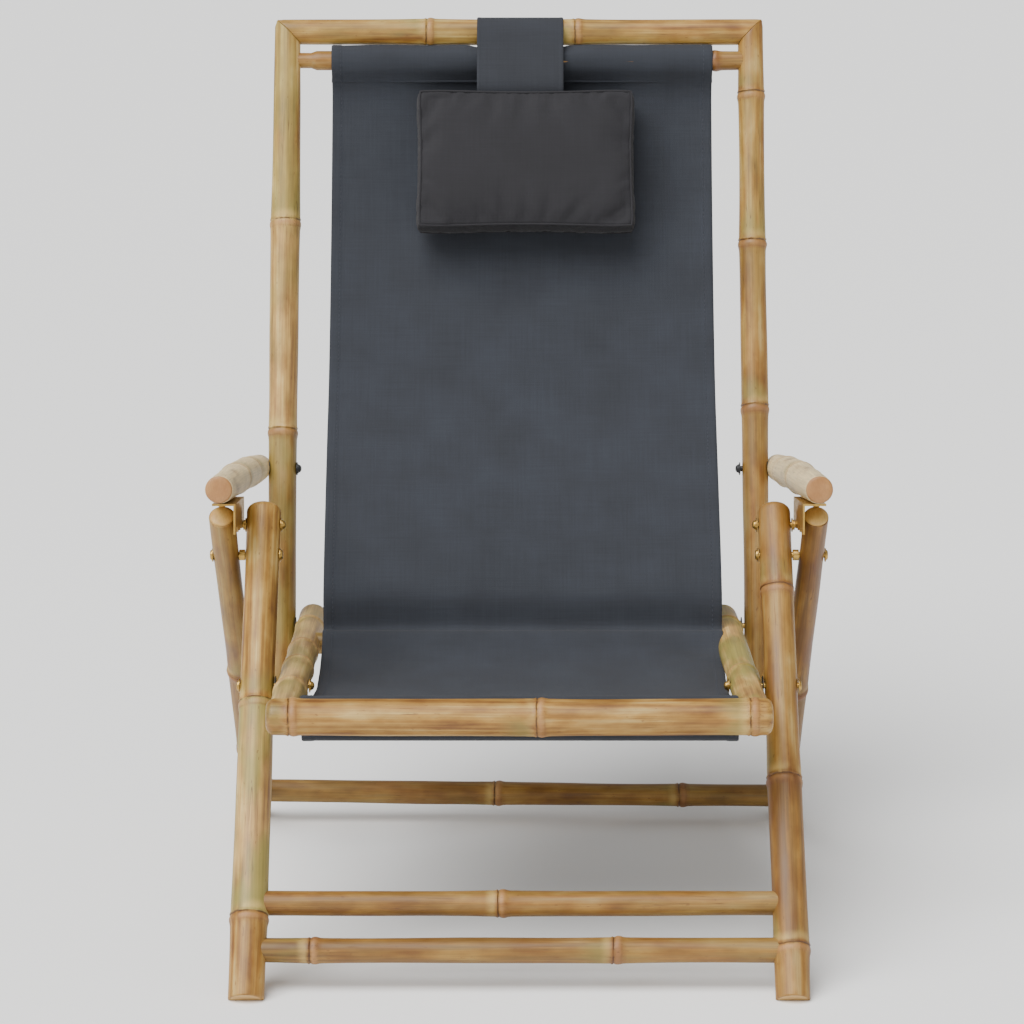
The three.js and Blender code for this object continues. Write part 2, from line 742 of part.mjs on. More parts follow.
function pillowShape() {
  const columns = PILLOW_COLUMNS;
  const rows = PILLOW_ROWS;
  const perFace = (columns + 1) * (rows + 1);
  const positions = [];
  const faces = [];
  for (const face of [1, -1]) {
    for (let j = 0; j <= rows; j += 1) {
      for (let i = 0; i <= columns; i += 1) {
        positions.push(...pillowPoint((2 * i) / columns - 1, (2 * j) / rows - 1, face));
      }
    }
  }
  const spot = (i, j, back) => back * perFace + j * (columns + 1) + i;
  const quad = (a, b, c, d) => faces.push(a, b, c, a, c, d);
  for (let j = 0; j < rows; j += 1) {
    for (let i = 0; i < columns; i += 1) {
      quad(spot(i, j, 0), spot(i + 1, j, 0), spot(i + 1, j + 1, 0), spot(i, j + 1, 0));
      quad(spot(i, j, 1), spot(i, j + 1, 1), spot(i + 1, j + 1, 1), spot(i + 1, j, 1));
    }
    quad(spot(columns, j, 0), spot(columns, j, 1), spot(columns, j + 1, 1), spot(columns, j + 1, 0));
    quad(spot(0, j + 1, 0), spot(0, j + 1, 1), spot(0, j, 1), spot(0, j, 0));
  }
  for (let i = 0; i < columns; i += 1) {
    quad(spot(i, 0, 0), spot(i, 0, 1), spot(i + 1, 0, 1), spot(i + 1, 0, 0));
    quad(spot(i + 1, rows, 0), spot(i + 1, rows, 1), spot(i, rows, 1), spot(i, rows, 0));
  }
  const geometry = new THREE.BufferGeometry();
  geometry.setAttribute("position", new THREE.Float32BufferAttribute(positions, 3));
  geometry.setIndex(faces);
  return geometry;
}

const clothFront = SLING_THICKNESS / 2 - BACK_CLOTH_SAG;
const pillowForward = clothFront + FIT + PILLOW_CROWN + PILLOW_EDGE / 2;

function headPillow() {
  const centre = atX(backPoint(PILLOW_UP, pillowForward), PILLOW_ASIDE);
  return place(pillowShape(), centre, ACROSS, backWay, backFront, "head_pillow", "pillow");
}

// The strap: a closed loop round the top rail and a tongue down to the pillow's top
function pillowStrap() {
  const room = TOP_RAIL_CANE / 2 + FIT + SLEEVE_ROOM;
  const loop = room + STRAP_THICKNESS;
  const pillowTop = PILLOW_UP + PILLOW_HEIGHT / 2 + FIT;
  const front = room + STRAP_THICKNESS / 2;
  const tongue = [backPoint(BACK_LENGTH, front), backPoint(pillowTop, pillowForward)];
  const strap = clothAcross(
    new THREE.Shape(ribbon(tongue, STRAP_THICKNESS)),
    STRAP_WIDTH,
    PILLOW_ASIDE,
    "pillow_strap",
    "pillow",
  );
  fuse(strap, clothAcross(ringShape(backTop, loop), STRAP_WIDTH, PILLOW_ASIDE));
  return cut(strap, rod(2 * room, atX(backTop, -SEAT_WIDTH), atX(backTop, SEAT_WIDTH), CANE_SIDES));
}

// Back frame: two uprights mitred to a top rail, a cloth rod, pivots, cloth and pillow
function backFrame() {
  const group = new THREE.Group();
  const corner = TOP_RAIL_CANE / 2;
  const topRail = cane(
    "back_top_rail",
    TOP_RAIL_CANE,
    atX(backTop, -(uprightX + BACK_CANE / 2)),
    atX(backTop, uprightX + BACK_CANE / 2),
  );
  for (const [side, sign] of Object.entries(SIDES)) {
    const upright = cane(
      `back_upright_${side}`,
      BACK_CANE,
      atX(backTail, sign * uprightX),
      atX(along(backTop, backWay, corner), sign * uprightX),
      "round",
      "square",
    );
    const mitre = ACROSS.clone().multiplyScalar(sign).sub(backWay).normalize();
    const joint = atX(backTop, sign * uprightX);
    cut(upright, beyond(along(joint, mitre, FIT / 2), mitre.clone().negate()));
    cut(topRail, beyond(along(joint, mitre, -FIT / 2), mitre));
    cut(
      upright,
      socket(TOP_ROD_CANE, topRodAt, sign, BACK_CANE, uprightX),
      boltHole(backPivot, sign, uprightX, BACK_CANE),
      boltHole(armPivot, sign, uprightX, BACK_CANE),
    );
    const outside = uprightX + BACK_CANE / 2;
    const armOutside = armX + ARM_CANE / 2;
    group.add(
      upright,
      bolt(`back_pivot_bolt_${side}`, backPivot, sign, seatX - SEAT_CANE / 2, outside, "brass"),
      washer(`back_washer_${side}`, backPivot, sign, SEAT_WIDTH / 2, TURN_GAP, PIVOT_WASHER, "steel"),
      bolt(`armrest_bolt_${side}`, armPivot, sign, uprightX - BACK_CANE / 2, armOutside, "blackCap"),
      washer(`armrest_washer_${side}`, armPivot, sign, outside, TURN_GAP, PIVOT_WASHER, "steel"),
    );
  }
  group.add(
    topRail,
    socketedBar("back_canvas_rod", TOP_ROD_CANE, topRodAt, BACK_CANE, uprightX),
    backCloth(),
    headPillow(),
    pillowStrap(),
  );
  return group;
}

// The armrest's centre line leans outwards to the front, so that it ends above the rear leg
function armPoint(reach, sign) {
  const lean = ((rearLegX - armX) * reach) / armReach;
  return atX(along(armPivot, armWay, reach), sign * (armX + lean));
}

// The plate's toothed side, drawn from the armrest's pivot: reach along the cane, and height above it
function plateSide() {
  const top = -(ARM_CANE / 2 + FIT);
  const seat = BOLT_SHANK / 2 + FIT;
  const notchTop = -LOCK_BOLT_DROP + seat;
  const bottom = notchTop - NOTCH_DEPTH;
  const outline = [[plateStart, top], [plateStart, bottom]];
  for (let k = 0; k < NOTCH_COUNT; k += 1) {
    const reach = boltReach + k * NOTCH_PITCH;
    outline.push([reach - seat / 2 - NOTCH_RAMP, bottom]);
    outline.push([reach - seat / 2, notchTop]);
    outline.push([reach + seat, notchTop]);
    outline.push([reach + seat + NOTCH_WALL_LEAN, bottom]);
  }
  outline.push([plateStart + PLATE_LENGTH, bottom], [plateStart + PLATE_LENGTH, top]);
  return new THREE.Shape(outline.map(([reach, height]) => new THREE.Vector2(reach, height)));
}

function plateTab() {
  const top = -(ARM_CANE / 2 + FIT);
  const shape = new THREE.Shape();
  shape.moveTo(plateStart, top);
  shape.lineTo(plateStart, top - PLATE_THICKNESS);
  shape.lineTo(plateStart + PLATE_LENGTH, top - PLATE_THICKNESS);
  shape.lineTo(plateStart + PLATE_LENGTH, top);
  return shape;
}

// Draws a shape of reach and height from the armrest's pivot, and thickens it towards -X
function fromArm(shape, sign, width, name) {
  const geometry = new THREE.ExtrudeGeometry(shape, { depth: width, bevelEnabled: false });
  const start = atX(armPivot, sign > 0 ? plateX + width : -plateX);
  return place(geometry, start, armWay, armUp, ACROSS.clone().negate(), name, "brass");
}

const SCREW_PLACE_SHARES = { rear: 0.15, front: 0.85 };

function screwAt(share, sign) {
  const onCane = armPoint(plateStart + share * PLATE_LENGTH, sign);
  return along(onCane, armUp, -(ARM_CANE / 2 + FIT + PLATE_THICKNESS + FIT + SCREW_HEAD_HEIGHT));
}

function screw(name, at) {
  const head = SCREW_HEAD / 2;
  const shank = SCREW_SHANK / 2;
  const outline = [
    [0, 0],
    [head * HEAD_FLAT_SHARE, 0],
    [head, SCREW_HEAD_HEIGHT * SCREW_RIM_SHARE],
    [head, SCREW_HEAD_HEIGHT],
    [shank, SCREW_HEAD_HEIGHT],
    [shank, SCREW_LENGTH],
    [0, SCREW_LENGTH + shank],
  ];
  return standFrom(turned(outline, BOLT_SIDES), at, along(at, armUp, SCREW_LENGTH), name, "brass");
}

function screwHole(at) {
  const width = SCREW_SHANK + 2 * SCREW_HOLE_GAP;
  return rod(width, along(at, armUp, -OVERRUN), along(at, armUp, SCREW_LENGTH + SCREW_SHANK));
}

// One armrest: its cane, the plug in front, the notched plate below and its two screws
function armrest(side, sign) {
  const group = new THREE.Group();
  const front = armPoint(armReach, sign);
  const rear = armPoint(-ARM_TAIL, sign);
  const way = front.clone().sub(rear).normalize();
  const arm = cane(`armrest_${side}`, ARM_CANE, rear, front, "round", "square");
  const plate = fromArm(plateSide(), sign, PLATE_THICKNESS, `ratchet_plate_${side}`);
  fuse(plate, fromArm(plateTab(), sign, PLATE_TAB));
  cut(arm, plugBore(front, way), boltHole(armPivot, sign, armX, ARM_CANE));
  for (const [end, share] of Object.entries(SCREW_PLACE_SHARES)) {
    const at = screwAt(share, sign);
    cut(arm, screwHole(at));
    cut(plate, screwHole(at));
    group.add(screw(`plate_screw_${end}_${side}`, at));
  }
  group.add(arm, plate, plug(`armrest_plug_${side}`, ARM_CANE, PLUG_THICKNESS, front, way));
  return group;
}

// The whole chair, moved so that its footprint is centred and its feet stand at zero
const chair = new THREE.Group();
chair.add(frontLegs(), rearLegs(), seatFrame(), backFrame());
for (const [side, sign] of Object.entries(SIDES)) {
  chair.add(armrest(side, sign));
}

const recliner = new THREE.Group();
recliner.add(chair);
recliner.updateMatrixWorld(true);
const box = new THREE.Box3().setFromObject(recliner, true);
chair.position.set(-(box.min.x + box.max.x) / 2, -(box.min.y + box.max.y) / 2, -box.min.z);

export default recliner;
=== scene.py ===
# %% [markdown]
# # A bamboo folding recliner
# This lesson dresses a imported CAD model of a low garden chair. The CAD gives every piece its place
# and its joint. Blender adds what the eye expects: canes that swell at their knots, a hung canvas
# sling, a stuffed head pillow and turned bolts. The imported model is loaded first as a fixed frame,
# so that no piece has to be fitted by hand.

# %% Load the imported frame
import json
import math

import bmesh
import bpy
import numpy as np
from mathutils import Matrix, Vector


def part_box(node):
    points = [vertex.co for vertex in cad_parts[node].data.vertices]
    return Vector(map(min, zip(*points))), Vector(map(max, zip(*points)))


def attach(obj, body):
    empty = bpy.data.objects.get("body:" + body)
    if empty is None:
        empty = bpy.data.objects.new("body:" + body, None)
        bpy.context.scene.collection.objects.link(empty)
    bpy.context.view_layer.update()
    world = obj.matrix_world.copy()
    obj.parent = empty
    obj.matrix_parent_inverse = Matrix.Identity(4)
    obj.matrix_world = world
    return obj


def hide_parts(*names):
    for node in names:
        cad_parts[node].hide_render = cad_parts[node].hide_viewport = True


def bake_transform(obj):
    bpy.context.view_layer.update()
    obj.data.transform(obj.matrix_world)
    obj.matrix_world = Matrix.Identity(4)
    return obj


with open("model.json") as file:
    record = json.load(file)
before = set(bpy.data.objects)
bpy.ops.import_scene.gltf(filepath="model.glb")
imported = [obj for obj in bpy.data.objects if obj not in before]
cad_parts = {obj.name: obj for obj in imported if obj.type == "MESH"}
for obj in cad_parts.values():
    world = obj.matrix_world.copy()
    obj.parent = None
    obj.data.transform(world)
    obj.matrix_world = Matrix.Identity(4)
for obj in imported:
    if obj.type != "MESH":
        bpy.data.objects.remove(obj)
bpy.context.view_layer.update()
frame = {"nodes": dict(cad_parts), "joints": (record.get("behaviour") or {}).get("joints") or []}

# %% [markdown]
# The model is in metres, but a maker thinks in millimetres. One number turns one into the other.
# A piece could be placed by typed numbers, but then it would drift when the CAD changes. Here each
# place is read from a joint or from the box of a node.

# %% Places read from the frame
MM = 0.001
SIDES = {"left": -1, "right": 1}
ACROSS = Vector((1, 0, 0))
UP = Vector((0, 0, 1))


def centre(node):
    low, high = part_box(node)
    return (Vector(low) + Vector(high)) / 2


def in_side_view(point):
    return Vector((0, point[1], point[2]))


def at_x(point, x):
    return Vector((x, point[1], point[2]))


def way_between(start, end):
    return (end - start).normalized()


def to_floor(point, way):
    return point - way * (point.z / way.z)


pivots = {joint["name"]: in_side_view(joint["pos_m"]) for joint in frame["joints"]}
seat_pivot = pivots["seat_fold"]
leg_pivot = pivots["rear_leg_fold"]
back_pivot = pivots["recline"]
arm_pivot = pivots["left_armrest_swing"]
seat_bar = in_side_view(centre("seat_crossbar"))
front_rail = in_side_view(centre("seat_front_rail"))
front_rod = in_side_view(centre("seat_canvas_rod"))
top_rod = in_side_view(centre("back_canvas_rod"))
top_rail = in_side_view(centre("back_top_rail"))
leg_way = way_between(seat_pivot, leg_pivot)
seat_way = way_between(seat_pivot, back_pivot)
seat_up = Vector((0, -seat_way.z, seat_way.y))
back_way = way_between(back_pivot, arm_pivot)
back_front = Vector((0, -back_way.z, back_way.y))
print("back leans at", round(math.degrees(math.atan2(back_way.z, back_way.y)), 1), "degrees")

# %% [markdown]
# Colours are picked from what a screen shows, so they are written as sRGB hex values, and Blender
# mixes light in linear values. One function does the turn. A second small function adds a node with
# its settings and its links, which keeps each material short enough to read as a recipe. Three
# settings come back in every recipe, so they have names.

# %% Colour and node helpers
MULTIPLY = {"operation": "MULTIPLY"}
SMOOTH = {"interpolation_type": "SMOOTHSTEP"}
SHADE = {"blend_type": "MULTIPLY"}


def linear(hex_colour):
    parts = [int(hex_colour[i : i + 2], 16) / 255 for i in (1, 3, 5)]
    flat = [c / 12.92 if c <= 0.04045 else ((c + 0.055) / 1.055) ** 2.4 for c in parts]
    return (*flat, 1.0)


def add(tree, kind, settings=None, links=None):
    node = tree.nodes.new("ShaderNode" + kind)
    for name, value in (settings or {}).items():
        if name == "stops":
            elements = node.color_ramp.elements
            while len(elements) < len(value):
                elements.new(0.5)
            for element, (position, colour) in zip(elements, value):
                element.position = position
                element.color = linear(colour)
        else:
            setattr(node, name, value)
    for name, value in (links or {}).items():
        if isinstance(value, bpy.types.Node):
            value = value.outputs[0]
        if isinstance(value, bpy.types.NodeSocket):
            tree.links.new(value, node.inputs[name])
        else:
            node.inputs[name].default_value = value
    return node


def start_material(name):
    material = bpy.data.materials.new(name)
    material.use_nodes = True
    material.node_tree.nodes.clear()
    return material, material.node_tree


def finish_material(tree, colour, sockets, roughness=None, normal=None):
    links = dict(sockets)
    links["Base Color"] = colour
    if roughness is not None:
        links["Roughness"] = roughness
    if normal is not None:
        links["Normal"] = normal
    shader = add(tree, "BsdfPrincipled", links=links)
    add(tree, "OutputMaterial", links={"Surface": shader})


print("white is", linear("#ffffff")[:3])

# %% [markdown]
# ## Bamboo
# The canes are whole bamboo poles, scraped, sanded and given a thin clear varnish. The skin is a
# satin cream to tan, with fine fibres that run lengthwise, olive patches where green skin was left
# and small brown flecks. A photograph of bamboo could be wrapped round each cane, but a pattern in
# the cane's own straight coordinates needs no picture and follows every bend. Each cane therefore
# carries its own coordinates in millimetres and its distance to the nearest knot. Noise stretched
# along the cane gives the fibres: each size below is a width and a length in millimetres.

# %% Bamboo patterns
FIBRE_MM = (1.3, 60)
MOTTLE_MM = (20, 46)
STREAK_MM = (5, 150)
PATCH_MM = (24, 75)
FLECK_MM = (2.2, 7)


def stretched_noise(tree, grain, size, shift, detail=2.0):
    """Noise as wide and as long as size says, in mm, moved sideways so that no two agree."""
    width, length = size
    scaled = add(
        tree,
        "Mapping",
        links={
            "Vector": grain,
            "Scale": (1 / width, 1 / width, 1 / length),
            "Location": (shift, 0, 0),
        },
    )
    return add(tree, "TexNoise", links={"Vector": scaled, "Scale": 1.0, "Detail": detail})


def band(tree, value, start, full, end):
    """1 at full, falling to 0 at start and at end."""
    rise = add(tree, "MapRange", SMOOTH, {"Value": value, "From Min": start, "From Max": full})
    fall = add(
        tree,
        "MapRange",
        SMOOTH,
        {"Value": value, "From Min": full, "From Max": end, "To Min": 1.0, "To Max": 0.0},
    )
    return add(tree, "Math", MULTIPLY, {0: rise, 1: fall})


def stain(tree, below, colour, pattern, low, high, most=1.0, share=None):
    """Lays a colour over what is below, where a pattern rises from low to high."""
    here = add(
        tree,
        "MapRange",
        SMOOTH,
        {"Value": pattern, "From Min": low, "From Max": high, "To Max": most},
    )
    if share is not None:
        here = add(tree, "Math", MULTIPLY, {0: here, 1: share})
    return add(tree, "MixRGB", links={"Fac": here, "Color1": below, "Color2": linear(colour)})


print("fibres", FIBRE_MM[0], "mm apart, flecks", FLECK_MM[1], "mm long")

# %% [markdown]
# The knots carry colours of their own. Below the scar the skin is waxy and often olive, the scar is
# dark, the swelling above it is pinkish, and on a brown cane the whole knot is reddish. A darker
# brown band where the swelling falls away is painted shade. Painting them by hand would tie them
# to one cane. Here each colour says where it starts, is fullest and ends, in millimetres above the
# scar, and a slow noise moves those places a little, so that no ring is even. Hairline drying
# cracks run lengthwise in a few places.

# %% Bamboo, scraped and varnished
HALO_MM = (-42.0, -10.0, -3.0)
WAXY_MM = (-14.0, -5.0, -0.8)
SWELLING_MM = (0.2, 3.4, 10.0)
REDDISH_MM = (-11.0, 3.0, 17.0)
SCAR_MM = (-1.3, 0.1, 1.5)
# Painted shade: a darker band where the swelling falls away, in mm above the scar.
SWELLING_SHADE_MM = (6.0, 7.6, 9.4)
WOBBLE_MM = (9, 30)
WANDER_MM = 1.6
SPLIT_MM = (3.2, 190)
SPLIT_AREA_MM = (30, 60)
SPLIT_HALF_WIDTH = 0.013
FIBRE_DEPTH_MM = 0.25
BAMBOO_STOPS = [(0.0, "#754818"), (0.35, "#9c6f2c"), (0.65, "#b88d43"), (1.0, "#d2b16c")]
BAMBOO_SOCKETS = {"IOR": 1.47, "Coat Weight": 0.05, "Coat Roughness": 0.35}


def knot_colours(tree, colour, knot, wobble, mottle, patch, brownness):
    """Lays a knot's colours and a painted shade over the skin's, each in its own band above the scar."""
    moved = add(
        tree,
        "MapRange",
        links={"Value": wobble, "To Min": -WANDER_MM, "To Max": WANDER_MM},
    )
    from_scar = add(tree, "Math", {"operation": "ADD"}, {0: knot, 1: moved})
    halo = band(tree, from_scar, *HALO_MM)
    colour = stain(tree, colour, "#857a3c", patch, 0.4, 0.6, 0.55, halo)
    waxy = band(tree, from_scar, *WAXY_MM)
    colour = stain(tree, colour, "#c9ab62", mottle, 0.35, 0.6, 0.5, waxy)
    swelling = band(tree, from_scar, *SWELLING_MM)
    colour = stain(tree, colour, "#ac7d4c", mottle, 0.25, 0.6, 0.75, swelling)
    reddish = add(tree, "Math", MULTIPLY, {0: band(tree, from_scar, *REDDISH_MM), 1: brownness})
    colour = stain(tree, colour, "#6f3d1e", patch, 0.36, 0.56, 0.75, reddish)
    scar = band(tree, from_scar, *SCAR_MM)
    colour = stain(tree, colour, "#452711", wobble, 0.34, 0.5, 0.8, scar)
    # A darker brown band where the swelling falls away: painted shade, not the skin's colour.
    edge = band(tree, from_scar, *SWELLING_SHADE_MM)
    return stain(tree, colour, "#70441f", patch, 0.35, 0.6, 0.4, edge)


def drying_cracks(tree, grain):
    """Thin lines where a long noise is near its middle, in the few places a second one allows."""
    split = stretched_noise(tree, grain, SPLIT_MM, 400, 1.0)
    off_line = add(tree, "Math", {"operation": "SUBTRACT"}, {0: split, 1: 0.5})
    line = band(tree, off_line, -SPLIT_HALF_WIDTH, 0.0, SPLIT_HALF_WIDTH)
    area = stretched_noise(tree, grain, SPLIT_AREA_MM, 500, 1.0)
    seldom = add(
        tree,
        "MapRange",
        SMOOTH,
        {"Value": area, "From Min": 0.55, "From Max": 0.62, "To Max": 0.7},
    )
    return add(tree, "Math", MULTIPLY, {0: line, 1: seldom})


def bamboo_material():
    material, tree = start_material("bamboo_scraped_and_varnished")
    grain = add(tree, "Attribute", {"attribute_name": "grain"}).outputs["Vector"]
    knot = add(tree, "Attribute", {"attribute_name": "knot"}).outputs["Fac"]
    tone = add(tree, "Attribute", {"attribute_name": "tone"}).outputs["Vector"]
    brownness, oliveness, cut_end = add(tree, "SeparateXYZ", links={0: tone}).outputs
    fibre = stretched_noise(tree, grain, FIBRE_MM, 0, 3.0)
    mottle = stretched_noise(tree, grain, MOTTLE_MM, 40, 4.0)
    streak = stretched_noise(tree, grain, STREAK_MM, 90)
    patch = stretched_noise(tree, grain, PATCH_MM, 150, 3.0)
    fleck = stretched_noise(tree, grain, FLECK_MM, 210, 1.0)
    wobble = stretched_noise(tree, grain, WOBBLE_MM, 300)
    both = add(tree, "Math", {"operation": "ADD"}, {0: mottle, 1: streak})
    spread = add(tree, "MapRange", links={"Value": both, "From Min": 0.72, "From Max": 1.28})
    colour = add(tree, "ValToRGB", {"stops": BAMBOO_STOPS}, {"Fac": spread})
    colour = stain(tree, colour, "#5d3815", streak, 0.15, 0.65, 1.0, brownness)
    # Negative brownness lays on cream: pale canes, brightened in part as painted highlight.
    pale_and_highlight = add(
        tree,
        "MapRange",
        links={"Value": brownness, "From Min": 0.0, "From Max": -1.0},
    )
    colour = stain(tree, colour, "#ecd8ab", mottle, 0.1, 0.5, 0.9, pale_and_highlight)
    colour = stain(tree, colour, "#8c8442", patch, 0.32, 0.62, 1.0, oliveness)
    fine = add(
        tree,
        "MapRange",
        links={"Value": fibre, "From Min": 0.3, "From Max": 0.7, "To Min": 0.8, "To Max": 1.1},
    )
    colour = add(tree, "MixRGB", SHADE, {"Fac": 1.0, "Color1": colour, "Color2": fine})
    colour = knot_colours(tree, colour, knot, wobble, mottle, patch, brownness)
    colour = stain(tree, colour, "#5f3817", fleck, 0.7, 0.78, 0.5)
    crack = drying_cracks(tree, grain)
    dark = linear("#4f2d12")
    colour = add(tree, "MixRGB", links={"Fac": crack, "Color1": colour, "Color2": dark})
    sanded = add(tree, "Math", MULTIPLY, {0: cut_end, 1: 0.7})
    fresh = linear("#d0ac72")
    colour = add(tree, "MixRGB", links={"Fac": sanded, "Color1": colour, "Color2": fresh})
    height = add(tree, "Math", {"operation": "SUBTRACT"}, {0: fibre, 1: crack})
    depth = FIBRE_DEPTH_MM * MM
    normal = add(tree, "Bump", links={"Height": height, "Strength": 0.55, "Distance": depth})
    rough = add(
        tree,
        "MapRange",
        links={"Value": mottle, "From Min": 0.3, "From Max": 0.7, "To Min": 0.42, "To Max": 0.6},
    )
    finish_material(tree, colour, BAMBOO_SOCKETS, rough, normal)
    return material


BAMBOO = bamboo_material()
print(BAMBOO.name, "with", len(BAMBOO.node_tree.nodes), "nodes")

# %% [markdown]
# ## Sanded bamboo plugs
# The armrests' front ends and the rear legs' tops are closed with short plugs that were turned from
# thick bamboo wall and sanded. Cut across or shallowly, the fibres show as dots about 1.1 mm apart
# that run into arcs of about 3.3 mm, so the noise isn't stretched as far as on the canes.

# %% Plug material
PLUG_DOTS_PER_MM = 0.9
PLUG_ARCS_PER_MM = 0.3
PLUG_CLOUD_MM = 14
PLUG_DEPTH_MM = 0.2
PLUG_SOCKETS = {"IOR": 1.47, "Roughness": 0.5, "Coat Weight": 0.1}


def plug_material(name, light, dark):
    material, tree = start_material(name)
    place = add(tree, "TexCoord").outputs["Object"]
    arcs = PLUG_ARCS_PER_MM / MM
    spacing = (PLUG_DOTS_PER_MM / MM, arcs, arcs)
    grain = add(tree, "Mapping", links={"Vector": place, "Scale": spacing})
    dots = add(tree, "TexNoise", links={"Vector": grain, "Scale": 1.0, "Detail": 2.0})
    cloud_scale = 1 / (PLUG_CLOUD_MM * MM)
    cloud = add(tree, "TexNoise", links={"Vector": place, "Scale": cloud_scale, "Detail": 3.0})
    base = add(tree, "ValToRGB", {"stops": [(0.3, dark), (0.7, light)]}, {"Fac": cloud})
    fine = add(
        tree,
        "MapRange",
        links={"Value": dots, "From Min": 0.3, "From Max": 0.7, "To Min": 0.9, "To Max": 1.05},
    )
    colour = add(tree, "MixRGB", SHADE, {"Fac": 1.0, "Color1": base, "Color2": fine})
    depth = PLUG_DEPTH_MM * MM
    normal = add(tree, "Bump", links={"Height": dots, "Strength": 0.3, "Distance": depth})
    finish_material(tree, colour, PLUG_SOCKETS, None, normal)
    return material


PALE_PLUG = plug_material("bamboo_plug_sanded_pale", "#cba65f", "#b88a45")
ROSY_PLUG = plug_material("bamboo_plug_sanded_rosy", "#aa7c4a", "#99693a")
print(PALE_PLUG.name, ROSY_PLUG.name)

# %% [markdown]
# ## Canvas
# The sling is slate-grey polyester canvas in plain weave: each thread goes over one and under the
# next. Real threads lie about 0.6 mm apart, which is too fine to show at a metre or two, so the
# weave is drawn with threads 1.2 mm apart. A wave per direction, swapped from square to square by a
# checker, makes the over and under, and the dips between the threads are darkened as painted shade.
# Slubs, the thicker stretches of yarn, add faint streaks both ways, and a little sheen gives the
# soft light along the edges of matt cloth.

# %% Canvas and pillow cloth
CANVAS_THREAD_MM = 1.2
FINE_THREAD_MM = 0.9
SEWING_THREAD_MM = 0.5
WEFT_SLUB_MM = (55, 1.7)
WARP_SLUB_MM = (1.9, 70)
WORN_PATCH_MM = 60
CLOTH_SOCKETS = {"IOR": 1.46, "Roughness": 0.85, "Sheen Weight": 0.05, "Sheen Roughness": 0.5}


def slub_noise(tree, cloth, size):
    """Streaks as long and as wide as size says, in mm, across or along the cloth."""
    spacing = (1 / size[0], 1 / size[1], 1)
    stretched = add(tree, "Mapping", links={"Vector": cloth, "Scale": spacing})
    return add(tree, "TexNoise", links={"Vector": stretched, "Scale": 1.0, "Detail": 2.0})


def plain_weave(tree, cloth, thread):
    """Threads that pass over and under each other, swapped from square to square."""
    axes = add(tree, "SeparateXYZ", links={0: cloth})
    waves = []
    for axis in (0, 1):
        turn = add(tree, "Math", MULTIPLY, {0: axes.outputs[axis], 1: math.pi / thread})
        wave = add(tree, "Math", {"operation": "SINE"}, {0: turn})
        waves.append(add(tree, "Math", {"operation": "ABSOLUTE"}, {0: wave}))
    check = add(tree, "TexChecker", links={"Vector": cloth, "Scale": 1 / thread})
    over = check.outputs["Fac"]
    return add(tree, "MixRGB", links={"Fac": over, "Color1": waves[0], "Color2": waves[1]})


def cloth_material(name, base, worn, thread, depth):
    material, tree = start_material(name)
    cloth = add(tree, "Attribute", {"attribute_name": "cloth"}).outputs["Vector"]
    weave = plain_weave(tree, cloth, thread)
    weft = slub_noise(tree, cloth, WEFT_SLUB_MM)
    warp = slub_noise(tree, cloth, WARP_SLUB_MM)
    slubs = add(tree, "Math", {"operation": "ADD"}, {0: weft, 1: warp})
    cloud_scale = 1 / WORN_PATCH_MM
    cloud = add(tree, "TexNoise", links={"Vector": cloth, "Scale": cloud_scale, "Detail": 4.0})
    colour = add(tree, "ValToRGB", {"stops": [(0.3, base), (0.75, worn)]}, {"Fac": cloud})
    shade = add(
        tree,
        "MapRange",
        links={"Value": slubs, "From Min": 0.7, "From Max": 1.3, "To Min": 0.9, "To Max": 1.1},
    )
    colour = add(tree, "MixRGB", SHADE, {"Fac": 1.0, "Color1": colour, "Color2": shade})
    # Painted shade: the cloth is darkened where the weave dips between its threads.
    weave_shade = add(tree, "MapRange", links={"Value": weave, "To Min": 0.93, "To Max": 1.03})
    colour = add(tree, "MixRGB", SHADE, {"Fac": 1.0, "Color1": colour, "Color2": weave_shade})
    raised = add(tree, "Math", {"operation": "ADD"}, {0: weave, 1: slubs})
    normal = add(tree, "Bump", links={"Height": raised, "Strength": 0.6, "Distance": depth * MM})
    finish_material(tree, colour, CLOTH_SOCKETS, None, normal)
    return material


CANVAS = cloth_material("canvas_plain_woven_slate", "#25282f", "#2c3038", CANVAS_THREAD_MM, 0.2)
STRAP_CLOTH = cloth_material("canvas_fine_slate", "#23252b", "#292c33", FINE_THREAD_MM, 0.1)
PILLOW_CLOTH = cloth_material("polyester_cloth_fine_slate", "#1b1a1e", "#201f23", FINE_THREAD_MM, 0.1)
THREAD = cloth_material("sewing_thread_slate", "#2c2f37", "#363a43", SEWING_THREAD_MM, 0.05)
print(CANVAS.name, STRAP_CLOTH.name, PILLOW_CLOTH.name, THREAD.name)

# %% [markdown]
# ## Metal and black plastic
# The notched plates, nuts, screws and the slim spacers between the legs are steel with a yellow
# zinc plating: metallic, a little dull, with cloudy patches and fine scratches, about a third of a
# millimetre apart and ten times as long. A metal keeps the default IOR. The washers are plain zinc,
# gone dull, and the caps at the armrest bolts are black moulded nylon.

# %% Metal and plastic
PLATING_CLOUD_MM = 6
SCRATCHES_PER_MM = 3
SCRATCH_LENGTHS_PER_MM = 0.3
SCRATCH_DEPTH_MM = 0.05
NYLON_GRAIN_MM = 0.5
NYLON_DEPTH_MM = 0.04


